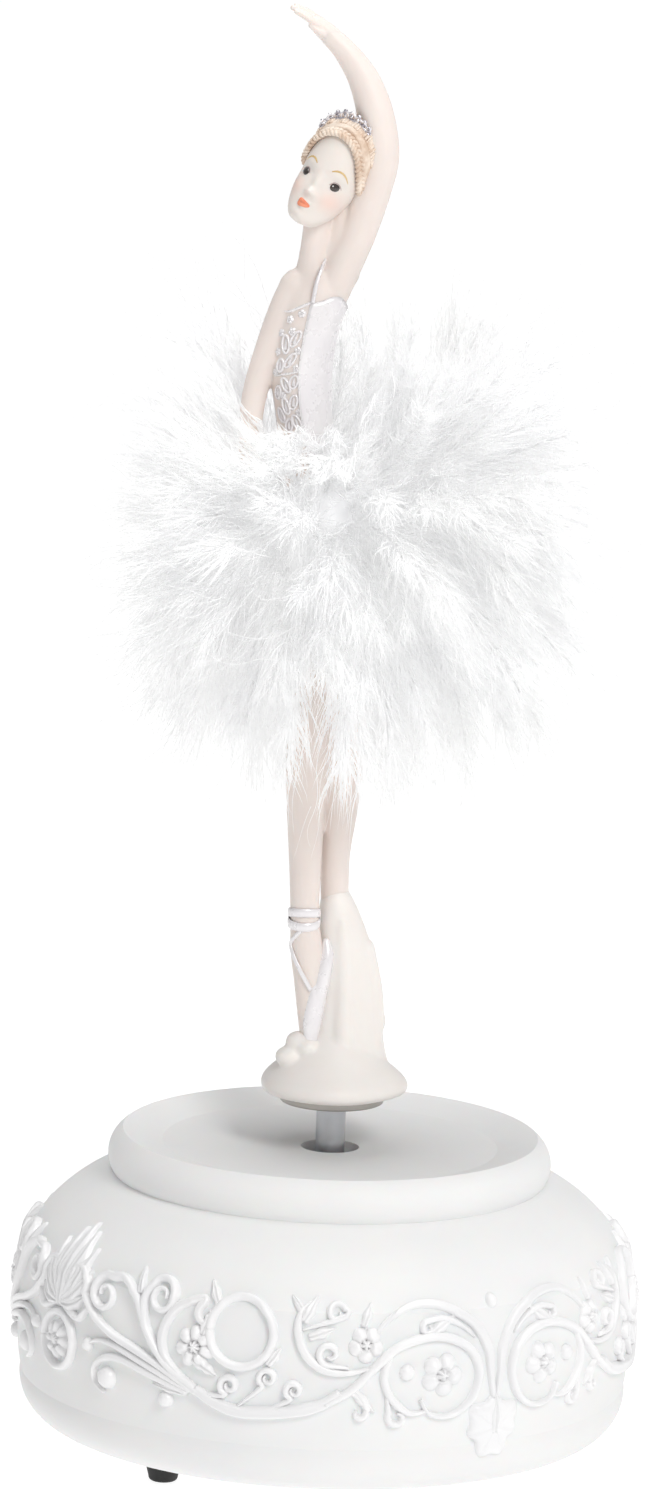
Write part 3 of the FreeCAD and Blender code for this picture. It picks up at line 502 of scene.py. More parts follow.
def half_pattern(build, belly):
    """Scrollwork from the pendant's axis to the acanthus axis, in mm along the belly and mm up."""

    def stroke(path, width=1.5, height=1.15, **more):
        ridge(build, belly, path, width, height, **more)

    def frond(*shape):
        leaf(build, belly, *shape)

    def bloom(*shape):
        flower(build, belly, *shape)

    def pearl(*shape):
        ball(build, belly, *shape)

    # outer and inner C-scrolls beside the pendant, with the star flower inside
    stroke(
        [(0.3, 22.6), (0.9, 26.5), (1.5, 31.0), (4.2, 35.4), (9.3, 38.2), (14.7, 38.6)]
        + [(19.0, 36.6), (21.6, 34.0)],
        1.7, 1.2, groove=0.3, start=0.5,
    )
    stroke(
        [(29.5, 22.4), (25.2, 25.0), (21.6, 28.6), (17.1, 32.2), (10.8, 33.5), (5.4, 31.6), (3.2, 27.4)]
        + [(4.5, 22.9), (8.0, 20.3), (11.9, 20.7), (13.6, 23.2)],
        1.6, 1.3, start=0.8, end=0.4,
    )
    stroke([(18.2, 31.6), (19.9, 27.6), (18.6, 23.6), (15.4, 21.0), (12.2, 21.3)], 1.4, 1.1)
    curl = [(3.9, 33.0), (6.6, 35.2), (9.8, 36.4), (12.6, 36.0)]
    stroke(curl + volute(12.4, 34.9, 1.1, 60, -0.8), 1.1, 0.9)
    frond((12.5, 33.6), (7.2, 36.9), 2.3, 0.9, 2)
    bloom(10.0, 27.2, 3.7, 5, 1.4, 0.34, 0.5)
    pearl(16.0, 27.8, 1.35, 1.2)
    bloom(23.0, 32.5, 3.0, 5, 1.35, 0.26, 0.3)
    frond((23.5, 35.3), (22.0, 39.2), 1.8, 1.0, 2)
    # left hook with its tufts and eye
    stroke(
        [(32.2, 39.0), (34.0, 37.4), (34.3, 34.2), (32.9, 30.6), (29.9, 28.3), (26.0, 27.8), (22.2, 28.6)],
        1.5, 1.2, groove=0.2,
    )
    stroke([(25.8, 28.6)] + volute(29.0, 30.9, 2.0, -100, 1.15), 1.2, 1.1)
    stroke([(33.6, 34.6)] + volute(28.0, 37.4, 1.7, 190, -1.1), 1.1, 1.0)
    frond((33.6, 35.8), (31.0, 40.0), 2.2, 1.1, 2)
    frond((32.6, 33.4), (27.8, 35.2), 2.0, 1.0, 2)
    frond((33.4, 37.2), (35.8, 39.9), 1.7, 1.0, 1)
    # trunk along the bottom and what curls off it
    stroke(
        [(27.0, 24.4), (30.5, 22.2), (36.0, 20.9), (43.3, 20.3), (47.6, 21.3), (51.4, 23.2)],
        2.2, 1.4, groove=0.35, start=0.7, end=0.8,
    )
    stroke([(26.0, 24.6), (23.6, 23.8), (22.6, 21.8)] + volute(23.9, 21.2, 1.3, 160, 0.7), 1.2, 1.0)
    stroke([(19.4, 24.0), (19.0, 21.2)] + volute(17.5, 20.4, 1.6, 10, -0.8), 1.2, 1.0)
    frond((25.2, 25.2), (21.2, 21.0), 1.9, 1.0, 2)
    stroke([(39.4, 20.8), (36.6, 22.2)] + volute(34.6, 24.6, 1.5, -70, 1.3), 1.1, 1.1)
    stroke([(44.4, 20.8), (41.4, 23.4)] + volute(39.0, 26.4, 1.6, -60, 1.3), 1.1, 1.1)
    stroke([(50.4, 22.8), (47.8, 22.6)] + volute(45.4, 24.6, 1.7, -70, 1.3), 1.2, 1.1)
    # plain ring and the leaf scroll that holds the ruffled flower
    stroke(oval(43.9, 33.4, 5.5, 5.6, 18), 1.5, 1.25, start=1.0, end=1.0)
    frond((48.0, 37.2), (50.4, 41.0), 1.9, 1.0, 2)
    frond((39.2, 28.4), (36.9, 31.6), 1.8, 0.9, 2)
    stroke(
        [(53.6, 24.6), (57.3, 28.2), (57.7, 32.6), (55.2, 36.4), (51.4, 37.9)]
        + volute(49.8, 35.6, 2.2, 70, -0.9),
        1.6, 1.3, groove=0.25, start=0.6,
    )
    bloom(51.7, 30.2, 3.7, 7, 1.5, 0.30, 0.2)
    frond((50.6, 32.2), (48.9, 36.8), 2.4, 1.2, 3)
    frond((52.0, 28.4), (47.6, 25.8), 2.4, 1.2, 3)
    # left trunk and the two top volutes
    stroke(
        [(50.6, 22.8), (57.0, 26.8), (60.9, 31.4), (63.7, 36.3), (67.3, 38.7)]
        + volute(71.0, 35.6, 3.1, 110, -1.35),
        1.6, 1.3, start=0.8,
    )
    stroke(
        [(54.2, 24.4), (58.6, 28.2), (61.4, 32.4), (62.2, 36.4), (60.9, 39.0)]
        + volute(58.9, 37.2, 2.9, 60, 1.35),
        1.5, 1.25, start=0.8,
    )
    frond((63.2, 37.0), (64.4, 41.2), 1.8, 1.0, 1)
    stroke(
        [(51.0, 22.6), (57.8, 26.0), (63.2, 28.0), (68.0, 29.4), (72.2, 31.4)]
        + volute(78.6, 35.6, 3.2, 200, -1.4),
        1.5, 1.25, start=0.8,
    )
    stroke([(52.0, 22.8), (60.0, 25.6), (66.6, 27.6), (71.0, 27.9), (73.4, 27.0)], 1.3, 1.15, start=0.8)
    pearl(73.9, 26.6, 1.2, 1.2)
    stroke(
        [(52.6, 22.4), (60.0, 24.4), (65.4, 25.7), (69.2, 25.4), (71.9, 23.4), (71.8, 20.9), (69.6, 19.4)],
        1.4, 1.15, start=0.8,
    )
    pearl(69.0, 22.0, 1.9, 1.6)
    frond((53.0, 22.2), (59.6, 23.0), 1.8, 1.0, 2)
    pearl(56.8, 20.6, 1.4, 1.2)
    # scrolls and leaves that meet the acanthus axis
    stroke([(74.4, 33.0), (76.6, 30.4), (79.4, 31.0), (HALF_PATTERN - 0.4, 31.8)], 1.3, 1.15)
    for reach, lean, width in ((12.2, 10, 4.0), (11.2, 28, 3.8), (9.6, 46, 3.4), (7.6, 68, 2.9)):
        a = math.radians(90 + lean)
        tip = (HALF_PATTERN + reach * math.cos(a), ACANTHUS_Z + reach * math.sin(a))
        frond((HALF_PATTERN, ACANTHUS_Z), tip, width, 1.4, 3, 1.1)


def axis_pieces(build, belly):
    """Pendant on one mirror axis; ringed rosette and the middle acanthus leaf on the other."""

    def shield(angle):
        lobes = 1 + 0.10 * math.cos(7 * (angle - math.pi / 2)) + 0.05 * math.cos(3 * (angle + math.pi / 2))
        tall = 5.3
        wide = 4.7 + 0.5 * math.sin(angle)
        return lobes * tall * wide / math.hypot(tall * math.cos(angle), wide * math.sin(angle))

    def veined(u, angle):
        vein = 0.28 * math.exp(-((math.sin(3.5 * (angle - math.pi / 2)) / 0.22) ** 2)) * u
        return 1.25 * (1 - u**5) ** 0.6 * (0.85 + 0.15 * u) - vein if u < 0.99 else 0.0

    boss(build, belly, 0.0, 17.6, shield, veined, 14, 84)
    leaf(build, belly, (0.0, 16.4), (0.0, 23.4), 2.6, 1.7, 2)
    ball(build, belly, 0.0, 38.4, 1.1, 1.0)
    ridge(build, belly, oval(HALF_PATTERN, 25.6, 4.5, 4.6, 24), 1.4, 1.2, start=1.0, end=1.0)
    flower(build, belly, HALF_PATTERN, 25.6, 3.5, 8, 1.5, 0.25, 0.0)
    leaf(build, belly, (HALF_PATTERN, 31.0), (HALF_PATTERN, 45.0), 4.4, 1.5, 4)


def make_frieze():
    """The half pattern, mirrored at each axis and repeated round the belly."""
    belly = Belly()
    material = pearl_relief_material()
    for quarter in range(4):
        build = Builder()
        belly.flip = 1.0 if quarter % 2 == 0 else -1.0
        belly.turn = math.pi * (quarter // 2)
        half_pattern(build, belly)
        if quarter % 2 == 0:
            axis_pieces(build, belly)
        name = "frieze_scrollwork_" + str(quarter + 1)
        add_piece(name, build.verts, build.faces, material, "base")
    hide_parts("scroll_frieze")


# ------------------------------------------------------------------ tutu
TUTU_CENTRE = np.array((2.5, 0.0, 158.0))
TUTU_HALF = np.array((41.5, 40.0, 43.0))
TUTU_POWER = 3.0               # squareness of the outline
HIPS = np.array((-4.4, 0.6, 160.0))
CORD_RING = 9.5
RIGHT_LOBE = np.array((16.0, -7.0, 174.0))
LEFT_LOBE = np.array((-5.0, -5.0, 163.0))
NECKLINE_SLOPE = 0.176         # the feathers' neckline drops towards the front by this share
NECKLINE_Z = 179.5
NECKLINE_RISE = 12.0           # how much higher the feathers stand beside the torso
TUFTS = 105
PLUMES_PER_TUFT = 3
BARBS_PER_PLUME = 165
STRAND_RINGS = 7
STRANDS_PER_PIECE = 5600
SHORT_PLUMES = 80              # inner down that hides the hips
LINING_R = 13.5                # middle of the matted ring round the cord
LINING_TUBE = 4.0
LINING_HALF_TALL = 9.5
LINING_Z = 159.0
LINING_STEPS = 144             # round the hips
LINING_SIDES = 40              # round the ring's own section
FUZZ_TUFTS = 130
FUZZ_BARBS = 45
FUZZ_LENGTH = 8.0
WISPS = 420
WISP_LOW = 128.0               # no wisp starts lower
WISP_SPREAD = 64.0             # none reaches farther along X or Y


def unit(vectors):
    return vectors / np.maximum(np.linalg.norm(vectors, axis=-1, keepdims=True), 1e-9)


def scatter_directions(count):
    """Even directions over the sphere, jittered."""
    k = np.arange(count) + 0.5
    z = 1 - 2 * k / count
    a = math.pi * (1 + math.sqrt(5)) * k
    flat = np.sqrt(1 - z**2)
    spots = np.stack((flat * np.cos(a), flat * np.sin(a), z), -1)
    return unit(spots + rng.normal(0, 0.09, spots.shape))


def outline_reach(directions):
    """Distance from the tutu's centre to its outline."""
    share = np.abs(directions / TUTU_HALF) ** TUTU_POWER
    return share.sum(-1) ** (-1 / TUTU_POWER)


def quill(direction, reach):
    """Bezier points of one plume: out of the cord, past its lobe's middle, then to its tip."""
    tip = TUTU_CENTRE + direction * outline_reach(direction) * reach
    flat = unit(np.array((direction[0], direction[1], 0.0)) + rng.normal(0, 0.12, 3) * (1, 1, 0))
    root = HIPS + flat * CORD_RING + np.array((0.0, 0.0, 7.5 * direction[2] + rng.uniform(-1.5, 1.5)))
    right = 1 / (1 + math.exp(-6 * (direction[0] - 0.05)))
    lobe = right * RIGHT_LOBE + (1 - right) * LEFT_LOBE
    if direction[1] > 0:
        lobe = lobe * (1, -1, 1)
    middle = 0.5 * (root + tip)
    control = 0.55 * lobe + 0.45 * middle + rng.normal(0, 1.5, 3)
    if direction[2] < -0.3:
        control = 0.5 * control + 0.5 * (root + flat * 14 + (0, 0, -4))
    away = control[:2] - HIPS[:2]
    control[:2] += away * max(0.0, 13.0 / max(np.linalg.norm(away), 1e-6) - 1)
    t = np.linspace(0, 1, 25)[:, None]
    return (1 - t) ** 2 * root + 2 * t * (1 - t) * control + t**2 * tip


def barbs_of(spine, count, length):
    """Down barbs that leave a plume's spine on all sides and sweep towards its tip."""
    steps = len(spine) - 1
    t = rng.uniform(0.30, 1.0, count) ** 0.85
    place = t * steps
    low = np.minimum(place.astype(int), steps - 1)
    part = (place - low)[:, None]
    origin = spine[low] * (1 - part) + spine[low + 1] * part
    along = unit(spine[low + 1] - spine[low])
    helper = unit(rng.normal(0, 1, (count, 3)))
    out = unit(helper - (helper * along).sum(-1, keepdims=True) * along)
    third = np.cross(along, out)
    spread = np.radians(rng.uniform(14, 52, count))[:, None]
    reach = (length * rng.uniform(0.65, 1.15, count) * (1 - 0.35 * t))[:, None, None]
    s = np.linspace(0, 1, STRAND_RINGS)[None, :, None]
    heading = (np.cos(spread) * along + np.sin(spread) * out)[:, None, :]
    path = origin[:, None, :] + reach * s * heading
    path = path + reach * 0.22 * s**2 * (along - out)[:, None, :]
    path[:, :, 2] -= (reach * 0.10 * s**2)[:, :, 0]
    swing = rng.uniform(0.2, 1.1, count)[:, None, None]
    phase = rng.uniform(0, 2 * math.pi, count)[:, None, None]
    path = path + swing * s**1.5 * np.sin(5.2 * s + phase) * third[:, None, :]
    path = path + 0.7 * swing * s**1.5 * np.cos(6.1 * s + phase) * out[:, None, :]
    return path


def bodice_excess(paths):
    """How far each point of a strand reaches above the neckline of feathers before the torso."""
    x, y, z = paths[..., 0], paths[..., 1], paths[..., 2]
    height = z - NECKLINE_SLOPE * y
    edge = NECKLINE_Z + NECKLINE_RISE * np.clip((x + 1.0) / 5.0, 0, 1) + 1.2 * np.sin(1.3 * x)
    front = (x > -19.0) & (x < 3.5) & (y < 1.5)
    return np.where(front, np.maximum(height - edge, 0.0), 0.0)


def clear_of_bodice(paths):
    """Bends strands down that stand before the torso, and drops those that still do."""
    share = np.linspace(0, 1, paths.shape[1])[None, :]
    for _ in range(3):
        excess = bodice_excess(paths).max(-1)
        paths[..., 2] -= np.minimum(excess, 9.0)[:, None] * share
    torso = (np.hypot(paths[..., 0] + 7.5, paths[..., 1]) < 9.0) & (paths[..., 2] > 172)
    return paths[~((bodice_excess(paths) > 0.6) | torso).any(-1)]


def strand_mesh(paths, root_radius, tip_radius):
    """Closed three-sided tapering tubes along (count, rings, 3) paths."""
    count, rings = paths.shape[:2]
    along = unit(np.gradient(paths, axis=1))
    helper = unit(rng.normal(0, 1, (count, 1, 3)))
    first = unit(np.cross(along, helper))
    second = np.cross(along, first)
    share = np.linspace(0, 1, rings)[None, :, None]
    radius = root_radius[:, None, None] * (1 - share) ** 0.7 + tip_radius
    corners = []
    for k in range(3):
        a = 2 * math.pi * k / 3
        corners.append(paths + radius * (math.cos(a) * first + math.sin(a) * second))
    sides = np.stack(corners, 2)[:, : rings - 1].reshape(count, -1, 3)
    verts = np.concatenate((sides, paths[:, -1:, :]), 1)
    per = verts.shape[1]
    tris = [(0, 2, 1)]
    for ring in range(rings - 2):
        for k in range(3):
            a = 3 * ring + k
            b = 3 * ring + (k + 1) % 3
            tris += [(a, b, b + 3), (a, b + 3, a + 3)]
    last = 3 * (rings - 2)
    tris += [(last + k, last + (k + 1) % 3, per - 1) for k in range(3)]
    tris = np.array(tris)[None] + (np.arange(count) * per)[:, None, None]
    return verts.reshape(-1, 3), tris.reshape(-1, 3)


def add_strands(name, verts, tris, material):
    """A mesh object straight from arrays, because there are too many strands for lists."""
    mesh = bpy.data.meshes.new(name)
    mesh.vertices.add(len(verts))
    mesh.vertices.foreach_set("co", (verts * MM).astype(np.float32).ravel())
    mesh.loops.add(3 * len(tris))
    mesh.loops.foreach_set("vertex_index", tris.astype(np.int32).ravel())
    mesh.polygons.add(len(tris))
    mesh.polygons.foreach_set("loop_start", np.arange(0, 3 * len(tris), 3, dtype=np.int32))
    mesh.polygons.foreach_set("use_smooth", np.ones(len(tris), dtype=bool))
    mesh.update(calc_edges=True)
    piece = bpy.data.objects.new(name, mesh)
    bpy.context.scene.collection.objects.link(piece)
    mesh.materials.append(material)
    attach(piece, "dancer")
    return piece


def wisp_paths():
    """Single long curly barbs that stand out of the mass, most of them on the left."""
    side = unit(rng.normal(0, 1, (WISPS, 3)) + (-0.9, -0.1, 0.12))
    start = TUTU_CENTRE + side * (outline_reach(side) * 0.80)[:, None]
    start[:, 2] = np.maximum(start[:, 2], WISP_LOW)
    length = rng.uniform(12, 26, WISPS)
    heading = unit(side + rng.normal(0, 0.22, (WISPS, 3)) + (0, 0, 0.05))
    helper = unit(rng.normal(0, 1, (WISPS, 3)))
    across = unit(np.cross(heading, helper))
    third = np.cross(heading, across)
    rings = 3 * STRAND_RINGS
    s = np.linspace(0, 1, rings)[None, :, None]
    reach = length[:, None, None]
    sweep = rng.uniform(-0.35, 0.35, WISPS)[:, None, None]
    curl = rng.uniform(0.5, 1.7, WISPS)[:, None, None]
    turns = rng.uniform(5, 11, WISPS)[:, None, None]
    path = start[:, None] + reach * s * heading[:, None] + reach * sweep * s**2 * across[:, None]
    ringlet = np.sin(turns * s) * across[:, None] + np.cos(turns * s) * third[:, None]
    path = path + curl * s * ringlet
    out = np.abs(path[:, :, :2] / WISP_SPREAD).max(axis=(1, 2))
    return path[out < 1.0]


def lining_point(a, b):
    """A lumpy ring's surface, by the angle round the hips and the angle round its section."""
    lump = 1 + 0.10 * math.sin(9 * a + 3 * b) + 0.07 * math.sin(17 * a - 5 * b)
    lump += 0.05 * math.sin(31 * a + 8 * b)
    r = LINING_R + LINING_TUBE * lump * math.cos(b)
    z = LINING_Z + LINING_HALF_TALL * lump * math.sin(b)
    return (HIPS[0] + r * math.cos(a), HIPS[1] + r * math.sin(a), z)


def make_lining(material):
    """The matted down round the cord, which hides the hips between the plumes."""
    verts = []
    faces = []
    for k in range(LINING_STEPS):
        row = LINING_SIDES * k
        after = LINING_SIDES * ((k + 1) % LINING_STEPS)
        for n in range(LINING_SIDES):
            m = (n + 1) % LINING_SIDES
            verts.append(lining_point(2 * math.pi * k / LINING_STEPS, 2 * math.pi * n / LINING_SIDES))
            faces.append((row + n, after + n, after + m, row + m))
    add_piece("tutu_lining", verts, faces, material, "dancer")


def fuzz_spine():
    """Short spine that stands out of the lining."""
    a = rng.uniform(0, 2 * math.pi)
    b = rng.uniform(-1.2, 1.2)
    out = np.array((math.cos(a) * math.cos(b), math.sin(a) * math.cos(b), math.sin(b)))
    ring = np.array((LINING_R * math.cos(a), LINING_R * math.sin(a), -1.0))
    root = HIPS + ring + out * (3.0, 3.0, 8.0)
    return root + np.linspace(0, 5, 25)[:, None] * out


def make_tutu():
    material = feather_material()
    make_lining(material)
    paths = []
    for tuft in scatter_directions(TUFTS):
        for _ in range(PLUMES_PER_TUFT):
            direction = unit(tuft + rng.normal(0, 0.11, 3))
            spine = quill(direction, rng.uniform(0.80, 0.93))
            paths.append(barbs_of(spine, BARBS_PER_PLUME, rng.uniform(11, 17)))
    for _ in range(SHORT_PLUMES):
        direction = unit(rng.normal(0, 1, 3) * (1, 1, 0.6) + (0, -0.25, 0.0))
        spine = quill(direction, rng.uniform(0.38, 0.62))
        paths.append(barbs_of(spine, BARBS_PER_PLUME, rng.uniform(10, 14)))
    for _ in range(FUZZ_TUFTS):
        paths.append(barbs_of(fuzz_spine(), FUZZ_BARBS, FUZZ_LENGTH))
    paths = clear_of_bodice(np.concatenate(paths))
    rng.shuffle(paths)
    first = None
    for k in range(0, len(paths), STRANDS_PER_PIECE):
        batch = paths[k : k + STRANDS_PER_PIECE]
        verts, tris = strand_mesh(batch, rng.uniform(0.07, 0.11, len(batch)), 0.012)
        name = "tutu_down_" + str(1 + k // STRANDS_PER_PIECE)
        piece = add_strands(name, verts, tris, material)
        first = first or piece
    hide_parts("feather_tutu")
    wisps = clear_of_bodice(wisp_paths())
    verts, tris = strand_mesh(wisps, rng.uniform(0.04, 0.07, len(wisps)), 0.010)
    add_strands("tutu_wisps", verts, tris, material)


# ------------------------------------------------------------------ dancer
REMESH_STEP = 0.30
STAND_LOW = 62.9
HEAD_SPOT = (-4.9, -1.2, 219.9)
HEAD_LEAN = math.radians(27.0)
HEAD_TURN = math.radians(-20.0)
TORSO = (
    (-3.6, 0.2, 134.0, 7.8, 6.2),
    (-4.4, 0.6, 152.0, 8.4, 7.0),
    (-6.6, 0.2, 166.0, 5.9, 5.2),
    (-8.7, -0.1, 177.0, 4.6, 4.4),
    (-9.6, -0.4, 185.0, 4.9, 4.8),
    (-9.1, -0.3, 191.5, 5.0, 5.0),
    (-8.0, 0.1, 197.5, 5.5, 4.5),
    (-7.4, 0.3, 200.5, 4.9, 3.9),
    (-7.3, 0.4, 203.0, 3.7, 3.2),
)


def porcelain_material(name, low, high, roughness=0.42):
    """Matt tinted porcelain, a little warmer where the colour gathers."""
    shader = Shader(name, high, roughness)
    shader.set(Subsurface_Weight=0.18, Subsurface_Scale=0.0015, Specular_IOR_Level=0.4)
    shader.set(Subsurface_Radius=(1.0, 0.6, 0.45))
    shader.colour(shader.noise(70.0, 4.0), low, high)
    shader.rough(shader.noise(220.0, 3.0), roughness - 0.08, roughness + 0.1)
    shader.bump(shader.noise(600.0, 3.0), 0.08, 0.00008)
    return shader


def paint_material(name, low, high, roughness, **more):
    shader = Shader(name, high, roughness)
    shader.set(**more)
    shader.colour(shader.noise(500.0, 3.0), low, high)
    shader.rough(shader.noise(900.0, 3.0), roughness * 0.8, roughness * 1.25)
    return shader.material


def satin_material():
    """Pearl lustre paint on the bodice, shoes and ribbons."""
    shader = Shader("pearl_satin", (0.86, 0.84, 0.85), 0.26)
    shader.set(Coat_Weight=0.5, Coat_Roughness=0.15, Metallic=0.15, Specular_IOR_Level=0.7)
    shader.colour(shader.noise(130.0, 4.0), (0.83, 0.80, 0.82), (0.90, 0.88, 0.88))
    shader.rough(shader.noise(400.0, 3.0), 0.2, 0.36)
    shader.bump(shader.noise(800.0, 4.0), 0.15, 0.0001)
    return shader.material


def section(centre, rx, ry, spokes):
    """A level ellipse about a centre."""
    ring = []
    for n in range(spokes):
        a = 2 * math.pi * n / spokes
        ring.append((centre[0] + rx * math.cos(a), centre[1] + ry * math.sin(a), centre[2]))
    return ring


def level_stack(build, stations, spokes=32):
    """A solid through level ellipses given as (x, y, z, rx, ry)."""
    rows = curve_through(stations, 1.0)
    build.rings([section(row[:3], row[3], row[4], spokes) for row in rows])


def limb(build, stations, spokes=20, step=0.8):
    """A round limb through (x, y, z, radius) stations, with rounded ends."""
    rows = curve_through(stations, step)
    spots = [row[:3] for row in rows]
    side = np.array((0.0, 1.0, 0.0))
    rings = []
    last = len(rows) - 1
    for k, row in enumerate(rows):
        along = spots[min(k + 1, last)] - spots[max(k - 1, 0)]
        along /= np.linalg.norm(along)
        side = side - along * side.dot(along)
        side /= np.linalg.norm(side)
        other = np.cross(along, side)
        radius = row[3]
        ends = [(0.0, 1.0)]
        if k == 0:
            ends = [(-0.85, 0.45), (-0.55, 0.82), (0.0, 1.0)]
        if k == last:
            ends = [(0.0, 1.0), (0.55, 0.82), (0.85, 0.45)]
        for shift, share in ends:
            middle = spots[k] + along * shift * radius
            reach = radius * share
            ring = []
            for n in range(spokes):
                a = 2 * math.pi * n / spokes
                ring.append(middle + side * reach * math.cos(a) + other * reach * math.sin(a))
            rings.append(ring)
    build.rings(rings)


def blob(build, centre, radii, spokes=20, rows=12):
    """A closed ellipsoid."""
    rings = []
    for k in range(1, rows):
        a = math.pi * k / rows
        spot = (centre[0], centre[1], centre[2] - radii[2] * math.cos(a))
        rings.append(section(spot, radii[0] * math.sin(a), radii[1] * math.sin(a), spokes))
    build.rings(rings)


def merged_piece(name, build, material, step, smoothing):
    """One skin over overlapping solids."""
    piece = add_piece(name, build.verts, build.faces, material, "dancer")
    remesh = piece.modifiers.new("skin", "REMESH")
    remesh.mode = "VOXEL"
    remesh.voxel_size = step * MM
    remesh.use_smooth_shade = True
    smooth = piece.modifiers.new("soften", "SMOOTH")
    smooth.factor = 0.5
    smooth.iterations = smoothing
    return piece


def make_body(skin):
    """Arms, legs, neck and trunk in one skin."""
    build = Builder()
    level_stack(build, TORSO)
    limb(build, [  # standing leg, down to the toe
        (-6.4, -0.4, 137.0, 4.7),
        (-6.3, -0.9, 126.0, 4.1),
        (-6.2, -1.2, 113.0, 3.3),
        (-5.9, -1.6, 102.0, 2.75),
        (-5.7, -1.8, 94.0, 2.45),
        (-5.2, -1.8, 88.0, 2.75),
        (-4.7, -2.0, 82.5, 2.45),
        (-4.5, -2.2, 77.0, 1.9),
        (-4.3, -2.4, 72.0, 1.35),
    ])
    blob(build, (-3.6, -0.9, 86.5), (2.2, 2.3, 2.9))
    limb(build, [  # other leg, into the drape
        (-0.8, 1.0, 137.0, 4.7),
        (-0.4, 1.3, 125.0, 3.8),
        (-0.3, 1.6, 113.0, 3.1),
        (-0.9, 2.0, 103.0, 2.5),
        (-0.6, 2.2, 92.0, 2.4),
    ])
    limb(build, [  # neck
        (-7.6, 0.3, 198.0, 4.0),
        (-8.1, 0.1, 203.0, 2.9),
        (-8.1, -0.3, 207.0, 2.25),
        (-7.4, -0.5, 214.0, 2.35),
    ])
    limb(build, [  # raised arm
        (-5.2, 0.0, 199.0, 3.2),
        (-3.2, 0.0, 204.0, 3.25),
        (-0.8, -0.3, 209.5, 3.05),
        (1.2, -0.9, 216.5, 3.2),
        (2.2, -1.3, 222.6, 3.35),
        (1.2, -1.3, 229.5, 3.1),
        (-1.0, -1.2, 235.2, 2.6),
        (-4.2, -1.2, 239.6, 2.0),
        (-7.0, -1.2, 242.2, 1.65),
    ])
    # shoulder between the neck and the raised arm
    limb(build, [(-3.2, 1.8, 216.0, 2.5), (-2.9, 1.3, 211.0, 3.0), (-3.2, 0.7, 205.0, 3.3)])
    limb(build, [(-7.0, 0.8, 209.6, 1.7), (-5.0, 0.8, 206.4, 2.5), (-3.2, 0.5, 202.5, 3.0)])
    limb(build, [  # lowered arm, into the down
        (-10.6, 0.0, 200.2, 3.0),
        (-12.6, -0.4, 196.0, 2.75),
        (-15.0, -0.9, 189.5, 2.4),
        (-17.2, -1.6, 181.5, 2.1),
        (-17.6, -4.0, 173.0, 1.9),
        (-15.8, -7.4, 166.5, 1.7),
        (-13.6, -8.6, 163.0, 1.6),
    ])
    body = merged_piece("dancer_skin", build, skin, REMESH_STEP, 8)
    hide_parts("dancer_figure")


def make_hand(skin):
    """Raised hand: a palm, four fingers laid together and a thumb."""
    build = Builder()
    limb(build, [(-6.2, -1.1, 241.7, 1.65), (-7.6, -1.2, 242.8, 1.6), (-9.0, -1.3, 244.0, 1.35)], 16, 0.4)
    fingers = (
        ((-8.6, -2.2, 243.6), (-10.6, -2.6, 244.9), (-12.4, -2.4, 245.8), 0.56),
        ((-8.8, -1.6, 244.0), (-11.0, -1.8, 245.5), (-13.0, -1.7, 246.4), 0.58),
        ((-8.7, -0.9, 244.3), (-10.8, -0.9, 245.8), (-12.5, -1.0, 246.7), 0.55),
        ((-8.4, -0.3, 244.3), (-10.0, -0.2, 245.5), (-11.4, -0.4, 246.3), 0.50),
    )
    for root, middle, tip, radius in fingers:
        limb(build, [(*root, radius + 0.12), (*middle, radius), (*tip, radius - 0.12)], 12, 0.3)
    limb(build, [(-7.2, -2.0, 242.2, 0.75), (-8.5, -2.5, 242.7, 0.62), (-9.9, -2.6, 243.6, 0.46)], 12, 0.3)
    merged_piece("dancer_hand", build, skin, 0.13, 3)


def make_stand(skin):
    """Mound with its rocks and the drape that stands behind the foot."""
    build = Builder()
    profile = [(9.6, 0.0), (11.6, 0.35), (12.5, 1.3), (12.3, 2.4), (11.0, 3.9)]
    profile += [(9.2, 5.3), (7.4, 6.9), (5.6, 8.6), (3.4, 10.2)]
    rings = []
    for radius, up in curve_through(profile, 0.6):
        ring = []
        for n in range(72):
            a = 2 * math.pi * n / 72
            wave = 1 + 0.022 * math.sin(3 * a + 0.9) + 0.012 * math.sin(5 * a + 2.0)
            ring.append((radius * wave * math.cos(a), radius * wave * math.sin(a), STAND_LOW + up))
        rings.append(ring)
    build.rings(rings)
    level_stack(build, [
        (1.2, 1.7, 66.0, 8.8, 6.8),
        (1.4, 1.8, 71.0, 7.2, 5.8),
        (1.6, 1.8, 76.0, 6.4, 5.2),
        (1.5, 2.0, 82.0, 5.7, 4.9),
        (1.0, 2.1, 88.0, 4.8, 4.4),
        (0.2, 2.2, 93.0, 3.7, 3.7),
        (-0.4, 2.2, 96.6, 2.5, 2.9),
        (-0.4, 2.3, 98.4, 1.3, 1.7),
    ], 40)
    limb(build, [(5.4, 0.6, 67.0, 2.4), (6.3, 0.4, 73.0, 2.0), (6.4, 0.6, 80.0, 1.7), (4.9, 1.2, 88.0, 1.5)])
    limb(build, [
        (1.8, -3.4, 66.0, 2.2),
        (1.6, -2.6, 74.0, 1.9),
        (1.4, -1.6, 83.0, 1.7),
        (0.8, -0.8, 92.0, 1.3),
    ])
    blob(build, (7.4, 0.8, 75.4), (1.3, 1.8, 2.1))
    blob(build, (-6.0, -2.6, 72.0), (2.2, 2.2, 1.9))
    blob(build, (-7.6, -3.4, 69.6), (2.3, 2.2, 1.8))
    blob(build, (-4.4, -3.2, 71.4), (2.3, 2.4, 1.6))
    merged_piece("dancer_stand", build, skin, 0.3, 10)


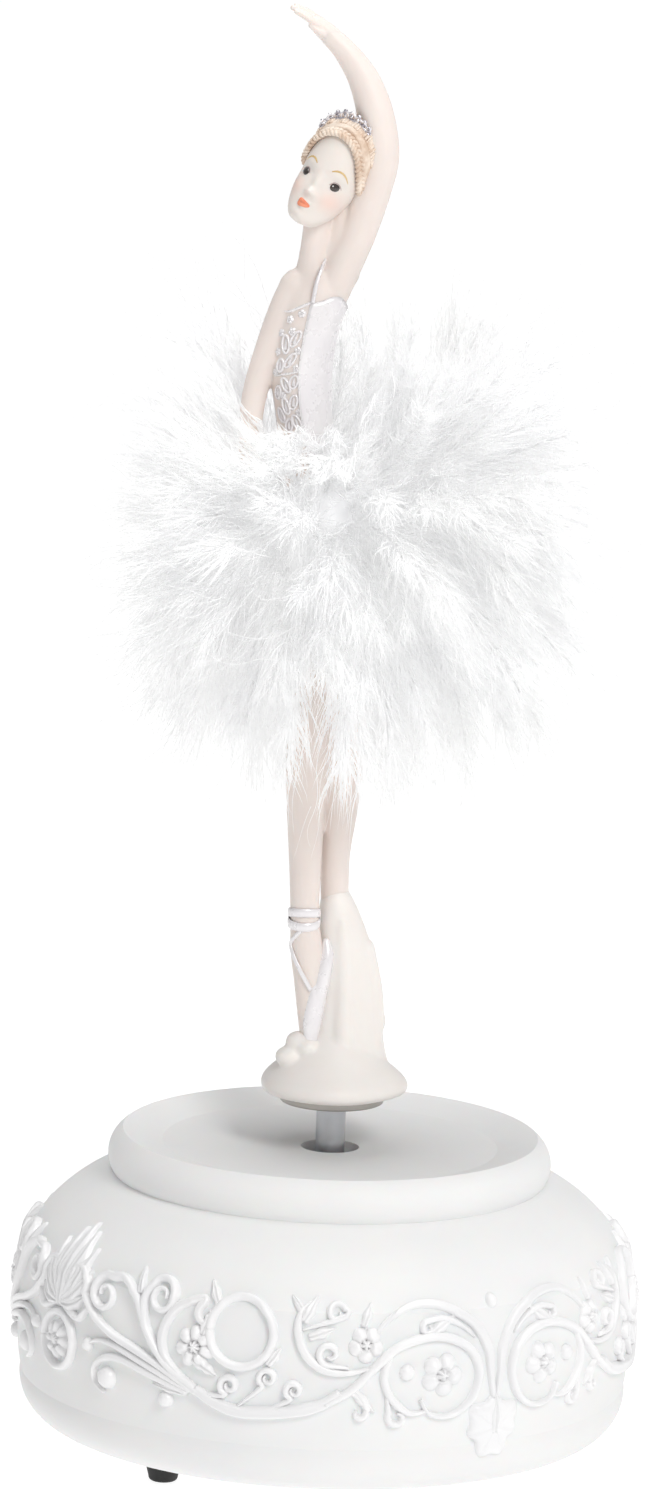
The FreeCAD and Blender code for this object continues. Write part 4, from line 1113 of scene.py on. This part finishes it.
def make_dancer():
    skin = porcelain_material("warm_porcelain", (0.80, 0.715, 0.67), (0.85, 0.765, 0.715)).material
    stand = porcelain_material("stand_porcelain", (0.87, 0.825, 0.785), (0.91, 0.87, 0.835)).material
    satin = satin_material()
    make_body(skin)
    make_hand(skin)
    make_stand(stand)
    make_bodice(satin)
    make_shoe(satin)
    make_head()


# ------------------------------------------------------------------ bodice and shoe
FRONT_SEAM = math.radians(268.0)     # where the satin begins, seen from above the torso
SIDE_SEAM = math.radians(165.0)
CHEST_DEGREES_PER_MM = 10.5
BODICE_LOW = 150.0
BODICE_TOP = 198.0
TORSO_ROWS = np.array(curve_through(TORSO, 0.5))


def torso_level(z):
    """Torso ellipse at a height, as (x, y, rx, ry)."""
    return [float(np.interp(z, TORSO_ROWS[:, 2], TORSO_ROWS[:, k])) for k in (0, 1, 3, 4)]


def torso_point(angle, z, lift):
    x, y, rx, ry = torso_level(z)
    return np.array((x + (rx + lift) * math.cos(angle), y + (ry + lift) * math.sin(angle), z))


class Torso:
    """The trunk addressed by degrees about it, counted from the front seam, and by height."""

    flip = -1.0

    def at(self, s, z):
        angle = FRONT_SEAM + math.radians(s)
        spot = torso_point(angle, z, 0.0)
        normal = np.array((math.cos(angle), math.sin(angle), 0.0))
        return spot, normal


class Chest(Torso):
    """As Torso, with the first coordinate in millimetres along the skin."""

    def at(self, s, z):
        return Torso.at(self, s * CHEST_DEGREES_PER_MM, z)


def make_satin_shell(satin):
    """The bodice's satin with its sweetheart edge, open over the lace at the front left."""
    start = FRONT_SEAM
    end = SIDE_SEAM + 2 * math.pi
    across = 72
    up = 60
    build = Builder()
    for side, lift in (("out", 0.34), ("in", -0.35)):
        for j in range(up + 1):
            for k in range(across + 1):
                angle = start + (end - start) * k / across
                share = k / across
                peak = 1.6 * math.sin(math.pi * min(1.0, share / 0.36)) ** 2
                edge = BODICE_TOP + peak - 4.0 * share
                z = BODICE_LOW + (edge - BODICE_LOW) * j / up
                fold = 0.07 * math.sin(9 * angle + 0.05 * z) if side == "out" else 0.0
                hem = 0.22 * math.exp(-(((edge - z) / 0.5) ** 2)) if side == "out" else 0.0
                build.verts.append(tuple(torso_point(angle, z, lift + fold + hem)))
    row = across + 1
    layer = row * (up + 1)
    for j in range(up):
        for k in range(across):
            a = j * row + k
            build.faces.append((a, a + 1, a + row + 1, a + row))
            build.faces.append((layer + a, layer + a + row, layer + a + row + 1, layer + a + 1))
        for k, turn in ((0, 1), (across, -1)):
            a = j * row + k
            face = (a, a + row, layer + a + row, layer + a)
            build.faces.append(face[::turn])
    for k in range(across):
        for j, turn in ((0, -1), (up, 1)):
            a = j * row + k
            face = (a, a + 1, layer + a + 1, layer + a)
            build.faces.append(face[::turn])
    add_piece("bodice_satin", build.verts, build.faces, satin, "dancer")


def make_lace(satin):
    """Looped sprigs and small flowers between the lace's edges."""
    lace = Builder()
    chest = Chest()
    sprigs = (
        (-1.5, 191.8, 2.6, 0.5), (-3.3, 190.8, 3.0, -0.3), (-1.9, 188.2, 2.4, 0.7), (-3.9, 187.2, 2.2, 0.1),
        (-1.0, 184.6, 2.2, 0.3), (-2.6, 184.0, 2.4, -0.5), (-1.3, 181.2, 2.4, 0.4), (-3.0, 180.4, 2.6, -0.2),
        (-4.6, 182.6, 2.2, 0.3), (-1.1, 177.8, 2.4, -0.4), (-2.8, 177.2, 2.2, 0.3), (-4.5, 178.8, 2.4, -0.3),
    )
    for cs, cz, tall, lean in sprigs:
        loop = []
        for k in range(15):
            a = 2 * math.pi * k / 14
            loop.append((cs + 0.75 * math.sin(a) + lean * math.cos(a), cz + tall * 0.5 * math.cos(a)))
        ridge(lace, chest, loop, 0.42, 0.36, start=1.0, end=1.0)
        root = (cs - 0.3 * lean, cz - 0.36 * tall)
        tip = (cs + 0.3 * lean, cz + 0.36 * tall)
        leaf(lace, chest, root, tip, 0.7, 0.32, 1)
    top = [(0.1, 198.0), (-1.8, 197.0), (-3.6, 196.2), (-5.4, 196.2)]
    across = [(0.0, 186.4), (-1.8, 186.0), (-3.4, 185.7), (-5.6, 185.2)]
    seam = [(0.0, 198.3), (0.05, 188.0), (0.0, 181.0), (0.0, 176.0)]
    ridge(lace, chest, top, 0.5, 0.34, start=0.8, end=0.5)
    ridge(lace, chest, across, 0.4, 0.3, start=0.8, end=0.5)
    ridge(lace, chest, seam, 0.5, 0.42, start=0.8, end=0.8)
    blooms = (
        (-1.2, 196.0), (-3.2, 194.9), (-2.4, 193.0), (-4.8, 192.6), (-0.7, 189.9),
        (-5.0, 189.4), (-0.6, 186.9), (-5.2, 185.9), (-3.4, 182.2), (-0.5, 179.4),
    )
    for cs, cz in blooms:
        flower(lace, chest, cs, cz, 0.72, 5, 0.36, 0.3, 0.4 * cs)
    add_piece("bodice_lace", lace.verts, lace.faces, satin, "dancer")


def make_strap(satin):
    strap = Builder()
    limb(strap, [
        (-7.9, -4.9, 198.2, 0.36),
        (-7.4, -4.4, 201.2, 0.34),
        (-6.6, -3.3, 203.8, 0.28),
        (-6.0, -1.2, 205.0, 0.22),
        (-5.6, 1.4, 205.4, 0.22),
        (-5.6, 3.4, 202.8, 0.24),
        (-6.4, 4.5, 198.0, 0.24),
        (-7.0, 4.9, 193.5, 0.24),
    ], 12, 0.4)
    add_piece("bodice_strap", strap.verts, strap.faces, satin, "dancer")


def make_bodice(satin):
    make_satin_shell(satin)
    make_lace(satin)
    make_strap(satin)


def band(build, rows, width, thick):
    """A flat ribbon through (point, outward) rows."""
    rings = []
    last = len(rows) - 1
    for k, (spot, out) in enumerate(rows):
        along = unit(rows[min(k + 1, last)][0] - rows[max(k - 1, 0)][0])
        side = unit(np.cross(along, out))
        ring = []
        for n in range(12):
            a = 2 * math.pi * n / 12
            ring.append(spot + side * 0.5 * width * math.cos(a) + out * thick * math.sin(a))
        rings.append(ring)
    build.rings(rings)


def make_shoe(satin):
    """Satin sides of the pointe shoe, two ankle ribbons and their crossing end."""
    build = Builder()
    ankle = (-5.75, -1.8)
    for base_z, slope, radius in ((92.6, 0.12, 2.62), (94.2, -0.10, 2.64)):
        rows = []
        for k in range(49):
            a = 2 * math.pi * k / 48
            out = np.array((math.cos(a), math.sin(a), 0.0))
            z = base_z + slope * 4 * math.sin(a)
            rows.append((np.array((ankle[0], ankle[1], z)) + out * radius, out))
        band(build, rows, 1.5, 0.22)
    front = np.array((0.0, -1.0, 0.0))
    cross = [(-5.9, -4.30, 91.9), (-7.2, -3.85, 90.4), (-7.9, -3.0, 88.9), (-7.3, -3.9, 87.0)]
    cross += [(-6.2, -4.55, 84.9), (-5.0, -4.75, 82.8), (-4.2, -4.60, 81.4)]
    rows = curve_through(cross, 0.35)
    centres = [np.array((-4.9, -1.9, row[2])) for row in rows]
    rows = [(np.array(row), unit(unit(np.array(row) - c) + 0.4 * front)) for row, c in zip(rows, centres)]
    band(build, rows, 0.75, 0.2)
    add_piece("shoe_ribbons", build.verts, build.faces, satin, "dancer")

    shoe = Builder()
    limb(shoe, [
        (-1.9, -1.6, 89.3, 0.7),
        (-1.75, -1.9, 87.0, 1.25),
        (-2.5, -2.3, 83.5, 1.65),
        (-3.2, -2.7, 79.5, 1.65),
        (-3.6, -3.0, 75.5, 1.45),
        (-3.9, -3.1, 72.6, 1.1),
    ], 20, 0.4)
    limb(shoe, [
        (-3.9, -3.7, 82.0, 0.55),
        (-3.9, -3.6, 79.5, 1.0),
        (-4.1, -3.4, 76.0, 1.25),
        (-4.1, -3.3, 72.6, 1.05),
    ], 20, 0.4)
    merged_piece("shoe_satin", shoe, satin, 0.2, 6)


# ------------------------------------------------------------------ head
HEAD_LEVELS = (        # height, half width, front, back, all from the head's middle
    (-10.5, 1.0, -4.6, -2.4),
    (-10.2, 2.0, -5.4, -1.4),
    (-9.3, 2.95, -6.0, 0.0),
    (-7.6, 3.95, -6.1, 2.2),
    (-5.2, 4.6, -6.1, 4.4),
    (-2.6, 4.95, -6.0, 6.2),
    (0.6, 5.2, -6.1, 7.0),
    (3.6, 5.1, -5.8, 7.0),
    (6.0, 4.5, -4.8, 6.0),
    (7.8, 3.0, -2.8, 4.4),
    (8.6, 1.1, -0.6, 2.2),
)
FACE_FORMS = (         # x, z, width, height, push outwards; mirrored when x is not 0
    (0.0, -2.9, 0.60, 1.6, 0.50),
    (0.0, -4.7, 0.72, 0.62, 1.10),
    (0.66, -4.95, 0.42, 0.36, 0.32),
    (2.85, -2.0, 1.25, 0.85, -0.55),
    (2.85, -2.35, 0.75, 0.55, 0.30),
    (2.6, -0.4, 1.5, 0.5, 0.16),
    (0.0, -6.65, 0.95, 0.34, 0.42),
    (0.0, -7.45, 0.75, 0.36, 0.44),
    (0.0, -9.0, 1.1, 0.8, 0.40),
    (3.3, -5.0, 1.5, 1.6, 0.42),
)
HALF_HAIRLINE = ((5.2, 3.4, -1.6), (5.4, 0.4, -0.6), (5.2, -1.8, 1.2), (4.2, -3.8, 4.0), (2.3, -4.8, 5.8))
HAIRLINE = [(-x, y, z) for x, y, z in HALF_HAIRLINE] + [(0.0, -5.1, 6.4), *reversed(HALF_HAIRLINE)]
HEAD_MIDDLE = (0.0, 0.8, 0.0)
BUN = np.array((0.0, 8.4, 2.6))
BRAID_TURN = 0.625             # radians of braid for each step of the hairline
LOCKS = 64
EYE_X = 2.85
EYE_Z = -2.35
EYE_R = 0.66


def head_matrix():
    turn = Matrix.Rotation(HEAD_LEAN, 4, "Y") @ Matrix.Rotation(HEAD_TURN, 4, "Z")
    return Matrix.Translation(Vector(HEAD_SPOT)) @ turn


def add_head_piece(name, build, material):
    place = head_matrix()
    verts = [tuple(place @ Vector(v)) for v in build.verts]
    return add_piece(name, verts, build.faces, material, "dancer")


def head_rings(grow):
    """Rings of the head; grow(x, y, z) moves a point away from the middle."""
    rings = []
    for z, half, front, back in curve_through(HEAD_LEVELS, 0.2):
        middle = 0.5 * (front + back)
        deep = 0.5 * (back - front)
        ring = []
        for n in range(112):
            a = 2 * math.pi * n / 112
            x = half * math.cos(a)
            y = middle + deep * math.sin(a)
            if y < middle:
                for fx, fz, wide, tall, push in FACE_FORMS:
                    for side in (1, -1) if fx else (1,):
                        y -= push * math.exp(-(((x - side * fx) / wide) ** 2) - ((z - fz) / tall) ** 2)
            spot = np.array((x, y, z))
            ring.append(spot + unit(spot - HEAD_MIDDLE) * grow(x, y, z))
        rings.append(ring)
    return rings


class Face:
    """The front of the head, addressed by its own x and z."""

    flip = -1.0

    def __init__(self, build):
        self.tree = BVHTree.FromPolygons(build.verts, build.faces)

    def at(self, x, z):
        spot, normal = self.tree.ray_cast(Vector((x, -20.0, z)), Vector((0.0, 1.0, 0.0)))[:2]
        return np.array(spot), np.array(normal)

    def outside(self, point, lift):
        """The skin point in the direction of a point, lifted off it."""
        middle = Vector(HEAD_MIDDLE)
        out = (Vector(point) - middle).normalized()
        spot = self.tree.ray_cast(middle + out * 30.0, -out)[0]
        return np.array(spot) + np.array(out) * lift


def hair_cover(x, y, z):
    """How far a point of the head lies behind the hairline."""
    return z - (6.3 - 0.15 * x**2) + (y + 4.6)


def cap_thickness(x, y, z):
    depth = min(1.0, max(0.0, hair_cover(x, y, z) / 0.8))
    return -0.35 + depth * depth * (3 - 2 * depth)


def add_braid(locks, face, line):
    """Three strands plaited along the hairline."""
    for lane in range(3):
        rows = []
        for k, point in enumerate(line):
            ahead = np.array(line[min(k + 1, len(line) - 1)]) - np.array(line[max(k - 1, 0)])
            base = face.outside(point, 0.55)
            out = unit(base - HEAD_MIDDLE)
            side = unit(np.cross(out, ahead))
            phase = BRAID_TURN * k + 2 * math.pi * lane / 3
            spot = base + side * (0.58 * math.sin(phase) - 0.6) + out * 0.24 * math.sin(2 * phase)
            rows.append((*spot, 0.34))
        limb(locks, rows, 8, 0.25)


def add_combed_locks(locks, face, line):
    """Locks drawn back from the hairline to the bun."""
    for n in range(LOCKS):
        share = (n + 0.5) / LOCKS
        start = np.array(line[int(share * (len(line) - 1))]) + (0.0, 1.7, 0.6)
        lift = 0.62 + 0.12 * math.sin(5 * n)
        rows = []
        for k in range(15):
            u = k / 14
            point = start * (1 - u) + (BUN + (0.0, -1.0, 0.0)) * u
            point = point + (0.0, 0.0, 2.0 * math.sin(math.pi * u))
            wave = np.array((0.12 * math.sin(7 * u + n), 0.0, 0.0))
            rows.append((*(face.outside(point, lift) + wave), 0.26))
        limb(locks, rows, 6, 0.5)


def add_bun(locks):
    """Rings of hair that close towards the middle."""
    for n in range(5):
        r = 2.5 - 0.5 * n
        coil = []
        for k in range(29):
            a = 2 * math.pi * k / 28
            coil.append((BUN[0] + r * math.cos(a), BUN[1] - 0.2 + 0.55 * n, BUN[2] + r * math.sin(a), 0.62))
        limb(locks, coil, 8, 0.4)


def make_hair(face):
    shader = Shader("painted_hair", (0.76, 0.60, 0.45), 0.5)
    shader.colour(shader.noise(420.0, 4.0), (0.66, 0.49, 0.37), (0.88, 0.76, 0.65), 0.35, 0.60)
    shader.rough(shader.noise(500.0, 3.0), 0.4, 0.6)
    material = shader.material
    cap = Builder()
    cap.rings(head_rings(cap_thickness))
    add_head_piece("hair_cap", cap, material)

    locks = Builder()
    line = curve_through(HAIRLINE, 0.25)
    add_braid(locks, face, line)
    add_combed_locks(locks, face, line)
    add_bun(locks)
    add_head_piece("hair_locks", locks, material)


def make_tiara(face):
    shader = Shader("tiara_glitter", (0.78, 0.76, 0.80), 0.3, 0.85)
    shader.colour(shader.noise(1500.0, 2.0), (0.45, 0.43, 0.48), (0.98, 0.97, 1.0), 0.42, 0.58)
    shader.rough(shader.noise(1300.0, 2.0), 0.12, 0.5)
    shader.bump(shader.noise(1400.0, 2.0), 0.7, 0.00025)
    build = Builder()
    arc = []
    for t in np.linspace(-1.0, 0.5, 33):
        arc.append((5.4 * math.sin(t), -2.4 + 1.2 * abs(math.sin(t)) ** 2, 7.6 * math.cos(t)))
    base = []
    crest = []
    for k, point in enumerate(arc):
        share = 1 - abs(k - 16) / 16
        low = face.outside(point, 0.75)
        out = unit(low - HEAD_MIDDLE)
        high = low + out * (0.35 + 0.65 * share + 0.25 * abs(math.sin(math.pi * k / 4)))
        base.append((*low, 0.26))
        crest.append((*high, 0.2))
        if k % 2 == 0:
            limb(build, [(*low, 0.17), (*(0.5 * (low + high)), 0.17), (*high, 0.17)], 8, 0.3)
        if k % 4 == 2:
            blob(build, high + out * 0.15, (0.36, 0.36, 0.36), 12, 8)
            blob(build, 0.5 * (low + high), (0.32, 0.32, 0.32), 12, 8)
    limb(build, base, 10, 0.3)
    limb(build, crest, 10, 0.3)
    add_head_piece("tiara", build, shader.material)


def make_face_paint(face):
    dark = (0.020, 0.014, 0.012)
    eye_paint = paint_material("eye_paint", dark, (0.045, 0.030, 0.024), 0.12, Coat_Weight=0.8)
    # grey-brown arc over each upper lid: part painted lid line, part painted shade of the eye socket
    lid_paint_and_socket_shade = paint_material("lid_paint_and_socket_shade", (0.42, 0.34, 0.33), (0.52, 0.43, 0.41), 0.5)
    brow_paint = paint_material("brow_paint", (0.60, 0.40, 0.16), (0.74, 0.54, 0.26), 0.5)
    red = (0.82, 0.20, 0.10)
    lip_paint = paint_material("lip_paint", red, (0.88, 0.34, 0.20), 0.4, Specular_IOR_Level=0.5)
    eyes = Builder()
    lids = Builder()
    brows = Builder()
    lid = ((2.0, -2.35), (2.35, -1.75), (2.85, -1.58), (3.4, -1.8), (3.75, -2.3))
    brow = ((1.5, -0.15), (2.2, 0.30), (3.0, 0.35), (3.7, -0.10), (4.15, -0.85))

    def swell(u, a):
        return 0.05 + 0.2 * math.sqrt(max(0.0, 1 - u**2))

    for side in (-1, 1):
        boss(eyes, face, side * EYE_X, EYE_Z, lambda a: EYE_R, swell, 6, 32)
        ridge(lids, face, [(side * x, z) for x, z in lid], 0.24, 0.09, start=0.4, end=0.4)
        ridge(brows, face, [(side * x, z) for x, z in brow], 0.34, 0.07, start=0.6, end=0.3)
    lips = Builder()
    leaf(lips, face, (-1.15, -7.05), (1.15, -7.05), 1.75, 0.22, 1)
    add_head_piece("eyes", eyes, eye_paint)
    add_head_piece("eye_lids", lids, lid_paint_and_socket_shade)
    add_head_piece("eye_brows", brows, brow_paint)
    add_head_piece("lips", lips, lip_paint)


def make_head():
    """The head with its hair, tiara and paint; the "blush" attribute tints its cheeks."""
    shader = porcelain_material("face_porcelain", (0.79, 0.725, 0.675), (0.83, 0.77, 0.72), 0.34)
    blush = shader.tree.nodes.new("ShaderNodeAttribute")
    blush.attribute_name = "blush"
    mix = shader.tree.nodes.new("ShaderNodeMix")
    mix.data_type = "RGBA"
    skin = shader.bsdf.inputs["Base Color"].links[0].from_socket
    shader.link(blush.outputs["Fac"], mix.inputs["Factor"])
    shader.link(skin, mix.inputs["A"])
    mix.inputs["B"].default_value = (0.86, 0.60, 0.52, 1.0)
    shader.link(mix.outputs["Result"], shader.bsdf.inputs["Base Color"])
    build = Builder()
    build.rings(head_rings(lambda x, y, z: 0.0))
    head = add_head_piece("dancer_head", build, shader.material)
    tint = head.data.attributes.new("blush", "FLOAT", "POINT")
    verts = np.array(build.verts)
    cheeks = np.exp(-(((np.abs(verts[:, 0]) - 3.3) / 1.5) ** 2) - ((verts[:, 2] + 5.0) / 1.7) ** 2)
    tint.data.foreach_set("value", (0.6 * cheeks * (verts[:, 1] < 0)).astype(np.float32))
    face = Face(build)
    make_hair(face)
    make_tiara(face)
    make_face_paint(face)


# ------------------------------------------------------------------ build
make_camera()
make_lights()
make_floor()

plate_plastic = plate_material()
by_slot = {
    "bisque": bisque_material(),
    "zinc_steel": steel_material("zinc_steel", (0.55, 0.56, 0.58), 0.34, turned=True),
    "spring_steel": steel_material("spring_steel", (0.42, 0.44, 0.48), 0.28),
    "key_steel": steel_material("key_steel", (0.60, 0.60, 0.61), 0.3),
    "gear_brass": brass_material(),
    "foot_rubber": rubber_material(),
    "plate_plastic": plate_plastic,
    "fan_plastic": plate_plastic,
    "white_cord": plate_plastic,
}
for part in frame["record"]["subparts"]:
    if part["material_slot"] in by_slot:
        give(part["node"], by_slot[part["material_slot"]])
give("turntable_disc", steel_material("disc_steel", (0.40, 0.38, 0.35), 0.3, turned=True))

make_frieze()
make_dancer()
make_tutu()
